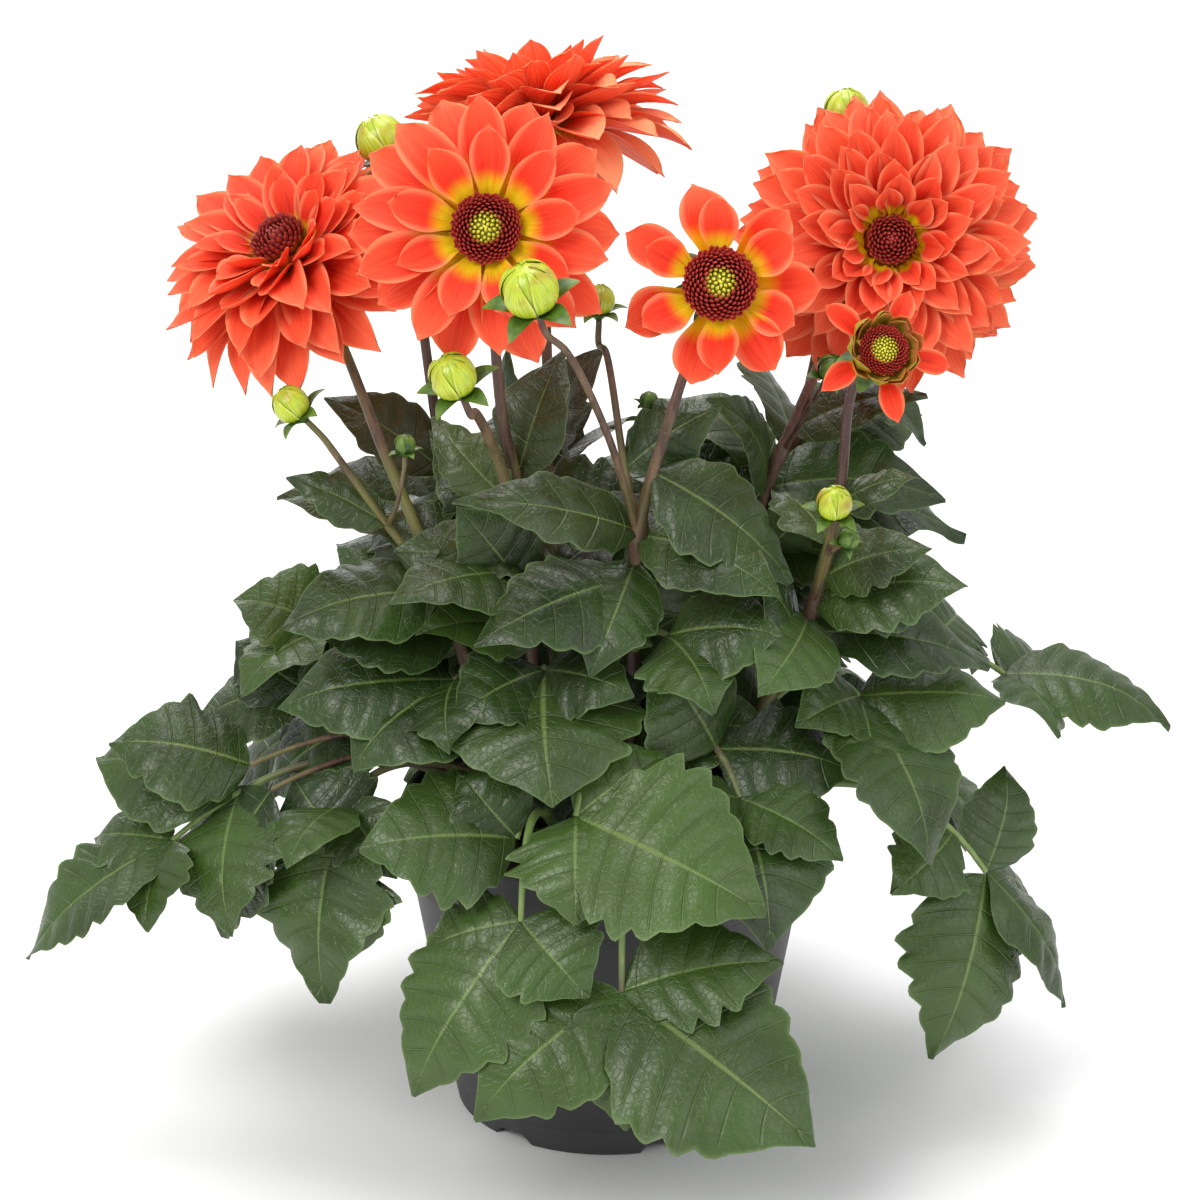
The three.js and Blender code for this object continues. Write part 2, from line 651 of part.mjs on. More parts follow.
// The band of core between two rings of points, matched by their angles
function bandFaces(faces, lower, upper) {
  const turn = Math.PI * 2;
  const sorted = (ring) => [...ring].sort((a, b) => ((a.angle % turn) + turn) % turn - ((b.angle % turn) + turn) % turn);
  const a = sorted(lower);
  const b = sorted(upper);
  const angleAt = (ring, i) => (((ring[i % ring.length].angle % turn) + turn) % turn) + (i >= ring.length ? turn : 0);
  let i = 0;
  let j = 0;
  const stopA = a.length > 1 ? a.length : 0;
  const stopB = b.length > 1 ? b.length : 0;
  while (i < stopA || j < stopB) {
    const nextA = i < stopA ? angleAt(a, i + 1) : Infinity;
    const nextB = j < stopB ? angleAt(b, j + 1) : Infinity;
    if (nextA <= nextB) {
      faces.push(a[i % a.length].index, a[(i + 1) % a.length].index, b[j % b.length].index);
      i += 1;
    } else {
      faces.push(a[i % a.length].index, b[(j + 1) % b.length].index, b[j % b.length].index);
      j += 1;
    }
  }
}

function makePetals(bloom) {
  const axis = point(bloom.axis).normalize();
  return rosette({
    place: frameOf(axis, point(bloom.at)),
    layers: bloom.layers.map((layer, i) => ({
      ...layer, root: bloom.coreRadius, phase: (i % 2) * 0.5 + i * 0.07, cup: PETAL_CUP, roll: PETAL_ROLL,
    })),
    draw: seededDraw(bloom.seed),
    bottom: 0,
    top: bloom.coreHeight,
    thickness: PETAL_THICKNESS,
    margin: bloom.layers.length > 3 ? CROWDED_PETAL_MARGIN : PETAL_MARGIN,
  });
}

// A domed disc whose florets stand up as points in a checked pattern
function makeDisc(bloom) {
  const axis = point(bloom.axis).normalize();
  const rings = 4;
  const spokes = 12;
  const radius = bloom.discRadius;
  const place = frameOf(axis, point(bloom.at).addScaledVector(axis, bloom.coreHeight + 0.35));
  const points = [place(0, 0, radius * bloom.dome), place(0, 0, 0)];
  const faces = [];
  const indexAt = (ring, spoke) => 2 + ring * spokes + (spoke % spokes);
  for (let ring = 0; ring < rings; ring += 1) {
    const share = (ring + 1) / rings;
    const slope = share * Math.PI * 0.5;
    for (let spoke = 0; spoke < spokes; spoke += 1) {
      const raised = (ring + spoke) % 2 === 0 && ring < rings - 1;
      const out = raised ? 1.13 : 1;
      const angle = (spoke / spokes) * Math.PI * 2 + ring * 0.05;
      const r = Math.sin(slope) * radius * (ring < rings - 1 ? out : 0.96);
      const z = Math.cos(slope) * radius * bloom.dome * out;
      points.push(place(Math.cos(angle) * r, Math.sin(angle) * r, ring === rings - 1 ? 0 : z));
    }
  }
  for (let spoke = 0; spoke < spokes; spoke += 1) {
    faces.push(0, indexAt(0, spoke), indexAt(0, spoke + 1));
    faces.push(1, indexAt(rings - 1, spoke + 1), indexAt(rings - 1, spoke));
    for (let ring = 0; ring < rings - 1; ring += 1) {
      const a = indexAt(ring, spoke);
      const b = indexAt(ring, spoke + 1);
      const c = indexAt(ring + 1, spoke);
      const d = indexAt(ring + 1, spoke + 1);
      faces.push(a, c, b, b, c, d);
    }
  }
  return solidOf(surface(points, faces));
}

// The green cup behind a bloom, with its spread bracts
function makeCalyx(bloom) {
  const axis = point(bloom.axis).normalize();
  const radius = bloom.coreRadius * 0.8;
  return rosette({
    place: frameOf(axis, point(bloom.at)),
    layers: [
      { count: 6, length: radius * 1.2, width: radius * 0.8, lift: -0.35, sag: -0.05, root: radius * 0.75,
        height: -radius * 0.6, phase: 0.2, cup: -0.1 },
    ],
    draw: seededDraw(bloom.seed + 1),
    bottom: -bloom.coreRadius * CALYX_DEPTH,
    top: -0.35,
    thickness: 1.2,
    margin: BRACT_MARGIN,
  });
}

// Compound leaves laid to the picture: the shoot that bears them, the height where they leave it,
// a bend, the hub where leaflets meet, and the leaflets as [foot, tip, width].
const LEAVES = {
  leaf_01: {
    on: 'stem_06', height: 141, bend: [6, -120, 210], hub: [6, -132, 113],
    leaflets: [[[6, -132, 113], [92, -170, 57], 71], [[6, -132, 113], [8, -166, 62], 47],
      [[6, -132, 113], [-60, -162, 66], 47], [[6, -132, 113], [78, -124, 124], 40]],
  },
  leaf_02: {
    on: 'stem_03', height: 141, bend: [-36, -108, 214], hub: [-38, -122, 142],
    leaflets: [[[-38, -122, 142], [-88, -146, 68], 52], [[-38, -122, 142], [-84, -112, 122], 33],
      [[-38, -122, 142], [-8, -146, 116], 40]],
  },
  leaf_03: {
    on: 'stem_06', height: 165, bend: [-6, -84, 224], hub: [-14, -104, 184],
    leaflets: [[[-14, -104, 184], [70, -134, 152], 64], [[-14, -104, 184], [-14, -142, 150], 47],
      [[-14, -104, 184], [26, -84, 206], 33]],
  },
  leaf_04: {
    on: 'stem_03', height: 160, bend: [-32, -70, 200], hub: [-40, -92, 168],
    leaflets: [[[-40, -92, 168], [-110, -102, 168], 52], [[-40, -92, 168], [-66, -80, 196], 31]],
  },
  leaf_05: {
    on: 'stem_06', height: 182, bend: [44, -50, 222], hub: [58, -84, 184],
    leaflets: [[[58, -84, 184], [72, -132, 134], 54], [[58, -84, 184], [104, -104, 164], 35],
      [[58, -84, 184], [34, -112, 192], 26], [[50, -64, 200], [112, -72, 192], 45],
      [[50, -64, 200], [20, -66, 244], 47]],
  },
  leaf_06: {
    on: 'stem_06', height: 238, bend: [18, -56, 256], hub: [26, -66, 254],
    leaflets: [[[26, -66, 254], [76, -84, 262], 42], [[26, -66, 254], [46, -106, 236], 38]],
  },
  leaf_07: {
    on: 'stem_03', height: 205, bend: [-28, -52, 238], hub: [-28, -62, 236],
    leaflets: [[[-28, -62, 236], [-24, -118, 194], 64], [[-28, -62, 236], [-68, -88, 224], 35],
      [[-28, -62, 236], [10, -92, 238], 33]],
  },
  leaf_08: {
    on: 'stem_01', height: 200, bend: [-62, -44, 230], hub: [-68, -54, 228],
    leaflets: [[[-68, -54, 228], [-114, -84, 200], 54], [[-68, -54, 228], [-70, -98, 214], 35],
      [[-68, -54, 228], [-148, -60, 220], 42]],
  },
  leaf_09: {
    on: 'stem_07', height: 205, bend: [92, -36, 236], hub: [112, -44, 216],
    leaflets: [[[112, -44, 216], [146, -96, 158], 54], [[112, -44, 216], [180, -32, 210], 40],
      [[112, -44, 216], [84, -76, 216], 31], [[112, -44, 216], [118, -88, 186], 31]],
  },
  leaf_10: {
    on: 'stem_09', height: 190, bend: [120, 30, 246], hub: [182, 22, 200],
    leaflets: [[[182, 22, 200], [262, 20, 178], 40], [[182, 22, 200], [206, -18, 186], 31],
      [[182, 22, 200], [204, 64, 190], 35], [[150, 24, 220], [166, -12, 216], 31],
      [[150, 24, 220], [164, 66, 214], 35]],
  },
  leaf_11: {
    on: 'stem_07', height: 150, bend: [128, -34, 196], hub: [172, -30, 124],
    leaflets: [[[172, -30, 124], [148, -68, 46], 54], [[172, -30, 124], [184, -4, 166], 33],
      [[172, -30, 124], [214, -34, 58], 31], [[158, -30, 148], [128, -62, 128], 31],
      [[172, -30, 124], [196, 10, 92], 31]],
  },
  leaf_12: {
    on: 'stem_01', height: 150, bend: [-118, -34, 214], hub: [-196, -44, 146],
    leaflets: [[[-196, -44, 146], [-266, -50, 90], 45], [[-196, -44, 146], [-236, -20, 138], 33],
      [[-196, -44, 146], [-208, -76, 116], 33], [[-164, -38, 168], [-236, -4, 172], 47],
      [[-164, -38, 168], [-170, -86, 118], 47]],
  },
  leaf_13: {
    on: 'stem_01', height: 165, bend: [-96, -48, 200], hub: [-118, -58, 170],
    leaflets: [[[-118, -58, 170], [-128, -92, 86], 54], [[-118, -58, 170], [-142, -98, 158], 35],
      [[-118, -58, 170], [-94, -86, 146], 28]],
  },
  leaf_14: {
    on: 'stem_02', height: 222, bend: [-100, 0, 252], hub: [-126, -8, 234],
    leaflets: [[[-126, -8, 234], [-170, 2, 246], 38], [[-126, -8, 234], [-166, -38, 216], 35],
      [[-126, -8, 234], [-118, -46, 216], 31], [[-126, -8, 234], [-144, 34, 236], 35]],
  },
};

// Leaves of the sides and back, laid by rule: tiers hang like shingles round the plant.
// Each row: shoot, height on it, direction in degrees from +X, tier, raise.
const TIERS = {
  low: { hub: 148, hubZ: 140, reach: 222, tipZ: 74, side: 196, sideZ: 96, spread: 17, rise: 62, width: 54 },
  middle: { hub: 112, hubZ: 190, reach: 180, tipZ: 140, side: 152, sideZ: 166, spread: 20, rise: 34, width: 52 },
  high: { hub: 84, hubZ: 236, reach: 142, tipZ: 204, side: 118, sideZ: 224, spread: 26, rise: 20, width: 46 },
};
const DEPTH_SHARE = 0.84;
const RULED = {
  leaf_15: ['stem_08', 150, 28, 'low', 0],
  leaf_16: ['stem_09', 146, 66, 'low', 15],
  leaf_17: ['stem_05', 146, 104, 'low', 0],
  leaf_18: ['stem_02', 146, 142, 'low', 15],
  leaf_19: ['stem_02', 168, 172, 'middle', 0],
  leaf_20: ['stem_09', 176, 47, 'middle', 0],
  leaf_21: ['stem_05', 176, 88, 'middle', 10],
  leaf_22: ['stem_02', 180, 128, 'middle', 0],
  leaf_23: ['stem_09', 222, 60, 'high', 0],
  leaf_24: ['stem_05', 222, 114, 'high', 6],
};

function polar(degrees, radius, z) {
  const angle = THREE.MathUtils.degToRad(degrees);
  return [Math.cos(angle) * radius, Math.sin(angle) * radius * DEPTH_SHARE, z];
}

function ruledLeaf([on, height, degrees, tierName, raise]) {
  const tier = TIERS[tierName];
  const at = (turn, radius, z) => polar(degrees + turn, radius, z + raise);
  const hub = at(0, tier.hub, tier.hubZ);
  const pair = at(0, tier.hub * 0.9, tier.hubZ + tier.rise * 0.2);
  const lowPair = at(0, tier.hub * 0.72, tier.hubZ + tier.rise * 0.5);
  const leaflets = [[hub, at(0, tier.reach, tier.tipZ), tier.width]];
  for (const hand of [-1, 1]) {
    leaflets.push([pair, at(hand * tier.spread, tier.side, tier.sideZ), tier.width * 0.78]);
    if (tierName === 'low') {
      leaflets.push([lowPair, at(hand * (tier.spread + 4), tier.hub * 0.98, tier.hubZ + 4), tier.width * 0.5]);
    }
  }
  return { on, height, bend: at(0, tier.hub * 0.78, tier.hubZ + tier.rise), hub, leaflets };
}

function makeLeaf({ on, height, bend, hub, leaflets }) {
  const root = shootAt(SHOOTS[on], height);
  const petiole = new THREE.QuadraticBezierCurve3(root, point(bend), point(hub));
  const parts = [rodAlong(petiole, PETIOLE_RADIUS, 3, PETIOLE_STEPS)];
  for (const [foot, tip, width] of leaflets) {
    const seat = nearestOnRod(petiole, PETIOLE_STEPS, point(foot));
    parts.push(leaflet(seat, point(tip), width, leafFace(point(foot), point(tip))));
  }
  return joined(parts);
}

// Assembly: pieces in order of strength, and each later one stands clear of the earlier ones
const solids = [['pot', 'pot', makePot()]];
for (const [name, shoot] of Object.entries(SHOOTS)) {
  solids.push([name, 'stem', makeShoot(shoot)]);
}
solids.push(['soil', 'soil', makeSoil()]);
for (const [name, bloom] of Object.entries(BLOOMS)) {
  solids.push([`${name}_calyx`, 'calyx', makeCalyx(bloom)]);
  solids.push([`${name}_disc`, 'disc', makeDisc(bloom)]);
  solids.push([`${name}_petals`, 'petal', makePetals(bloom)]);
}
for (const [name, bud] of Object.entries(BUDS)) {
  solids.push([name, 'bud', makeBud(bud)]);
}
for (const [name, leaf] of Object.entries(LEAVES)) {
  solids.push([name, 'leaf', makeLeaf(leaf)]);
}
for (const [name, row] of Object.entries(RULED)) {
  solids.push([name, 'leaf', makeLeaf(ruledLeaf(row))]);
}

function boxesMeet(a, b, margin) {
  return [0, 1, 2].every((k) => a.min[k] - margin < b.max[k] && b.min[k] - margin < a.max[k]);
}

function clearOf(solid, others) {
  let result = solid;
  for (const other of others) {
    if (boxesMeet(result.boundingBox(), other.boundingBox(), CLEARANCE)) {
      const larger = grown(other, CLEARANCE);
      if (result.intersect(larger).volume() > 1e-3) {
        result = largestBody(result.subtract(larger));
      }
    }
  }
  return result;
}

const plant = new THREE.Group();
const placed = [];
for (const [name, look, solid] of solids) {
  const clear = clearOf(solid, placed);
  placed.push(clear);
  const mesh = new THREE.Mesh(geometryOf(clear), new THREE.MeshStandardMaterial(MATERIALS[look]));
  mesh.name = name;
  plant.add(mesh);
}

export default plant;
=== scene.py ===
"""Dresses the potted dahlia: fine petals, florets, leaves with veins and teeth, stems, buds, pot and soil.

Metres, +Z up, front towards -Y, origin on the ground under the middle of the pot.
"""

import functools
import math

import bpy
import numpy as np
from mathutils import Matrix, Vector


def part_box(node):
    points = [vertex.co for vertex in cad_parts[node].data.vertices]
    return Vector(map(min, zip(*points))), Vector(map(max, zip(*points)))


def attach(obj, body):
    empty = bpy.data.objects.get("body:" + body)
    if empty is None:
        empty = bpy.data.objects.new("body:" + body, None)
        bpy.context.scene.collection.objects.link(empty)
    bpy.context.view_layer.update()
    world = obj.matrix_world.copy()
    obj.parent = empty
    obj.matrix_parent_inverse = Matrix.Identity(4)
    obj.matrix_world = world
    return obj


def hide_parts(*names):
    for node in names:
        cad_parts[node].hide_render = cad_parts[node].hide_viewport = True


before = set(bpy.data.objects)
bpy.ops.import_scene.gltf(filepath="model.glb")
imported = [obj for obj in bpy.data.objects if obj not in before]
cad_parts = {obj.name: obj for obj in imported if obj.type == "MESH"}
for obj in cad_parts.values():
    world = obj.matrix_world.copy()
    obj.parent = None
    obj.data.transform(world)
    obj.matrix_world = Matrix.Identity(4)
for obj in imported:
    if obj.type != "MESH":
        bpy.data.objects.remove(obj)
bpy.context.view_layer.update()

bl_info = {
    "name": "Potted Dahlia",
    "version": (1, 0, 0),
    "blender": (4, 5, 0),
    "location": "3D View > Sidebar > Dahlia",
    "description": "Builds a flowering dahlia in its nursery pot, piece by piece",
    "category": "Object",
}

UP = np.array((0.0, 0.0, 1.0))
FRONT = np.array((0.0, -1.0, 0.0))
GOLDEN_ANGLE = math.radians(137.5)

# Driving sizes of the pot and the soil
POT_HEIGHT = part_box("pot")[1].z
POT_BASE_RADIUS = 0.070
POT_RIM_RADIUS = 0.095
POT_SPREAD = 0.026
POT_WALL = 0.002
POT_LIP_DROP = 0.029
POT_FLOOR_Z = 0.007
POT_FOOT_WIDTH = 0.006
POT_FOOT_NOTCH = 0.004
POT_NOTCHES = 6
POT_NOTCH_TURN = 69
POT_SEGMENTS = 144
DRAIN_HOLES = 6
DRAIN_RADIUS = 0.006
DRAIN_RING_RADIUS = 0.044
SOIL_TOP = 0.127
SOIL_EDGE_Z = 0.119
SOIL_RADIUS = 0.0885
SOIL_HEAPS = 90
CRUMB_SIZES = (0.0006, 0.0021)
GRAIN_SIZES = (0.0009, 0.0021)

# Driving sizes of the plant
STEM_RADIUS = 0.0034
BRANCH_RADIUS = 0.0023
STALK_RADIUS = 0.0015
PETIOLE_RADIUS = 0.0019
LEAF_THICKNESS = 0.0011
PETAL_THICKNESS = 0.0010
BRACT_THICKNESS = 0.0011
BUD_FOOT = 1.35
CALYX_DEPTH = 0.76
STALK_GAP = 0.0004
STALK_RUN = 0.012
DEPTH_SHARE = 0.84
LEAF_CENTRE_Y = 0.030
LEAF_TURN = 0.3
LEAF_SWELL = 1.28
YOUNG_SWELL = 1.22
INNER_LEAVES = 8
INNER_LEAF_Z = 0.165
INNER_LEAF_STEP = 0.018
INNER_LEAF_REACH = 0.066
FLORET_TURN = 2.39996
DISC_SEGMENTS = 32

# The photograph's view
CAMERA_PLACE = (-0.0035, -2.091, 1.056)
CAMERA_PITCH = math.radians(21.2)
CAMERA_LENS = 148.9
CAMERA_SENSOR = 36.0


def metres(values):
    """Millimetres as metres, in whatever rows they stand. Names among them stay as they are."""
    if isinstance(values, dict):
        return {key: metres(value) for key, value in values.items()}
    if isinstance(values, (list, tuple)):
        return type(values)(metres(value) for value in values)
    return values if isinstance(values, str) else values / 1000


# Shoots of the photo: the main line, its branches, the smallest buds and the upper leaves. A line that
# bears a bloom or bud ends with its name. Buds and leaves are a foot, a tip and a width.
SHOOTS = metres({
    "stem_01": {
        "main": [(-38, -12, 110), (-52, -26, 180), (-74, -45, 268), (-98, -24, 322), (-117, -3, 366),
                 "bloom_a"],
        "branches": [[(-74, -45, 266), (-98, -45, 299), (-120, -47, 333), "bud_04"],
                     [(-97, -45, 297), (-92, -56, 312), (-88, -60, 332)]],
        "tips": [((-88, -60, 329), (-88, -61, 341), 9)],
        "leaves": [((-74, -45, 268), (-146, -64, 258), 42), ((-97, -45, 298), (-142, -38, 318), 20),
                   ((-66, -38, 240), (-122, -14, 276), 42), ((-56, -28, 200), (-152, 4, 220), 48)],
    },
    "stem_02": {
        "main": [(-34, 14, 110), (-56, 13, 200), (-71, 15, 283), (-76, 19, 315), (-84, 24, 380), "bud_01"],
        "leaves": [((-70, 15, 278), (-150, 10, 292), 44), ((-73, 16, 300), (-128, 26, 334), 28),
                   ((-70, 15, 278), (-72, 80, 296), 42), ((-62, 14, 240), (-126, 48, 256), 44)],
    },
    "stem_03": {
        "main": [(-18, -26, 110), (-32, -38, 220), (-41, -48, 292), (-47, -61, 332), (-57, -80, 362),
                 "bud_03"],
        "leaves": [((-38, -46, 272), (-94, -92, 282), 38), ((-38, -46, 266), (-66, -60, 312), 34),
                   ((-33, -41, 244), (-82, -78, 262), 34), ((-43, -54, 312), (-78, -36, 346), 22)],
    },
    "stem_04": {
        "main": [(-12, 0, 110), (-26, -16, 240), (-38, -30, 304), (-46, -40, 345), (-50, -44, 402),
                 "bloom_d"],
        "leaves": [((-40, -33, 314), (-20, -14, 370), 30), ((-33, -24, 284), (-80, -8, 330), 34),
                   ((-30, -20, 262), (-106, -28, 296), 40)],
    },
    "stem_05": {
        "main": [(-8, 26, 110), (-18, 28, 240), (-26, 34, 320), (-28, 42, 380), "bloom_e"],
        "leaves": [((-22, 31, 290), (-6, 20, 360), 36), ((-24, 33, 300), (-50, 22, 354), 32),
                   ((-22, 31, 290), (-40, 102, 312), 46), ((-18, 28, 250), (32, 98, 290), 46)],
    },
    "stem_06": {
        "main": [(10, -22, 110), (11, -38, 210), (13, -58, 298), (24, -62, 344), (38, -46, 384), "bloom_g"],
        "branches": [[(13, -58, 298), (0, -82, 352), (-18, -104, 398), "bud_02"],
                     [(13, -58, 300), (7, -40, 325), (-1, -15, 368), "bud_05"]],
        "tips": [((7, -42, 322), (18, -22, 348), 8)],
        "leaves": [((13, -60, 300), (-64, -102, 332), 30), ((14, -60, 298), (76, -90, 282), 36),
                   ((7, -42, 322), (50, -34, 350), 26), ((12, -54, 272), (-58, -98, 264), 40),
                   ((20, -61, 330), (82, -66, 278), 42), ((12, -56, 284), (-8, -94, 246), 34),
                   ((12, -50, 256), (58, -22, 310), 38)],
    },
    "stem_07": {
        "main": [(34, -16, 110), (58, -30, 180), (90, -52, 262), (101, -60, 320), (105, -64, 366),
                 "bloom_k"],
        "branches": [[(90, -52, 262), (96, -76, 300), "bud_06"]],
        "tips": [((95, -72, 294), (104, -84, 306), 9)],
        "leaves": [((90, -53, 264), (158, -66, 278), 38), ((82, -46, 240), (66, -76, 286), 34),
                   ((84, -48, 248), (174, -30, 226), 34), ((92, -54, 268), (146, -18, 262), 44),
                   ((89, -52, 258), (66, -100, 240), 36), ((100, -60, 312), (134, -76, 332), 15)],
    },
    "stem_08": {
        "main": [(28, 6, 110), (46, 4, 200), (71, 6, 296), (82, 12, 322), (97, 34, 350), (114, 46, 384),
                 "bloom_j"],
        "branches": [[(78, 10, 311), (90, -10, 342), (95, -21, 356)]],
        "tips": [((94, -20, 354), (98, -25, 364), 12)],
        "leaves": [((71, 6, 294), (154, 14, 288), 42), ((75, 8, 305), (22, 34, 334), 36),
                   ((58, 4, 250), (86, -30, 296), 36), ((71, 6, 294), (48, -22, 350), 34),
                   ((62, 5, 262), (148, -16, 256), 44), ((82, 12, 322), (142, 4, 344), 28)],
    },
    "stem_09": {
        "main": [(24, 28, 110), (52, 32, 200), (84, 38, 300), (102, 47, 390), "bud_07"],
        "leaves": [((86, 38, 306), (146, 68, 314), 44), ((94, 41, 340), (146, 34, 308), 36),
                   ((78, 36, 282), (166, 40, 262), 42), ((86, 38, 306), (60, 86, 338), 40),
                   ((70, 35, 256), (134, 92, 262), 48)],
    },
})

# Closed buds: the middle, the radius, the way each points, and how many bracts it has
BUDS = {name: {"at": metres(at), "radius": metres(radius), "axis": axis, "bracts": bracts}
        for name, at, radius, axis, bracts in (
    ("bud_01", (-101, 34, 451), 11, (-0.5, 0.1, 0.85), 5),
    ("bud_02", (-33, -122, 431), 12, (-0.25, -0.45, 0.85), 5),
    ("bud_03", (-66, -99, 385), 10, (-0.3, -0.45, 0.85), 5),
    ("bud_04", (-138, -51, 356), 8, (-0.6, -0.2, 0.75), 5),
    ("bud_05", (-4, -9, 390), 7, (0, -0.1, 1), 5),
    ("bud_06", (97, -91, 325), 7.5, (0, -0.45, 0.9), 5),
    ("bud_07", (107, 63, 456), 10, (-0.1, -0.1, 1), 6))}


def layer_of(count, length, width, lift, sag, height, phase=0.0):
    """A ring of petals: how many, their size, their rise from the level, and how high they are rooted."""
    return {"count": count, "length": metres(length), "width": metres(width), "lift": lift, "sag": sag,
            "height": metres(height), "phase": phase}


def bloom_of(at, axis, core, disc, dome, seed, looks, layers, more=(), full=False):
    """A bloom. Its looks are throat, eye, dark, pale and husk. A full one has a layer between each two."""
    throat, eye, dark, pale, husk = looks
    radius, height = metres(core)
    return {"at": metres(at), "axis": axis, "core_radius": radius, "core_height": height,
            "disc_radius": metres(disc), "dome": dome, "seed": seed, "throat": throat, "eye": eye,
            "dark": dark, "pale": pale, "husk": husk, "full": full,
            "layers": [layer_of(*row) for row in layers], "more": [layer_of(*row) for row in more]}


BLOOMS = {
    "bloom_a": bloom_of(
        (-137, 3, 402), (-0.42, -0.42, 0.8), core=(12, 14), disc=11, dome=0.75,
        seed=3, looks=(0.24, -1.0, 0.9, 0.15, 0.0), full=True,
        layers=[(11, 57, 19, -0.42, 0.1, 3), (11, 54, 19, -0.12, 0.08, 5), (10, 48, 18, 0.18, 0.05, 8),
                (9, 38, 15, 0.48, 0.02, 10), (7, 25, 12, 0.85, 0, 11)]),
    "bloom_d": bloom_of(
        (-51, -70, 440), (-0.04, -0.92, 0.38), core=(14, 9), disc=14, dome=0.6,
        seed=8, looks=(0.34, 0.38, 0.25, 0.05, 0.0),
        layers=[(10, 47, 20, -0.14, 0.1, 2.5), (10, 45, 18, 0.12, 0.08, 5), (9, 33, 15, 0.42, 0.05, 7)]),
    "bloom_e": bloom_of(
        (-29, 52, 446), (-0.12, 0.3, 0.94), core=(13, 15), disc=11, dome=0.6,
        seed=12, looks=(0.24, -1.0, 0.6, 1.1, 0.0), full=True,
        layers=[(11, 54, 20, -0.22, 0.07, 3), (11, 52, 19, 0.1, 0.06, 6), (10, 46, 17, 0.42, 0.04, 9),
                (8, 35, 15, 0.75, 0.02, 11)],
        more=[(10, 50, 20, -0.62, 0.12, 2, 0.6), (8, 36, 16, 1.0, 0.02, 11, 0.1),
              (6, 28, 14, 1.25, 0.0, 12, 0.4)]),
    "bloom_g": bloom_of(
        (47, -51, 409), (0.05, -0.9, 0.4), core=(14, 8), disc=15, dome=0.85,
        seed=21, looks=(0.36, 0.34, 0.1, 0.0, 0.0),
        layers=[(7, 32, 19, 0.02, 0.06, 2.5), (6, 27, 17, 0.3, 0.03, 5)]),
    "bloom_j": bloom_of(
        (124, 18, 408), (0.02, -0.94, 0.34), core=(14, 20), disc=9.5, dome=0.85,
        seed=34, looks=(0.24, -1.0, 0.45, 0.2, 0.0), full=True,
        layers=[(14, 56, 19, -0.3, 0.05, 3), (14, 54, 18, -0.04, 0.05, 6), (12, 49, 17, 0.2, 0.04, 9),
                (11, 41, 15, 0.44, 0.03, 12), (9, 30, 13, 0.72, 0.01, 15), (7, 19, 11, 1.02, 0, 17)]),
    "bloom_k": bloom_of(
        (115, -79, 388), (0.15, -0.88, 0.45), core=(11, 9), disc=10, dome=0.6,
        seed=40, looks=(0.16, 0.46, 0.1, 0.0, 1.0),
        layers=[(5, 21, 10, 0.1, 0.04, 2.5), (9, 15, 9, 1.15, -0.1, 5)],
        more=[(9, 13.5, 9, 1.3, -0.12, 6, 0.5)]),
}


def leaf_of(on, height, bend, hub, leaflets):
    """A leaf on a stem. Each leaflet is a tip and a width, and its own foot where that is not the hub."""
    rows = [(foot[0] if foot else hub, tip, width) for tip, width, *foot in leaflets]
    return {"on": on, "height": height, "bend": bend, "hub": hub, "leaflets": rows}


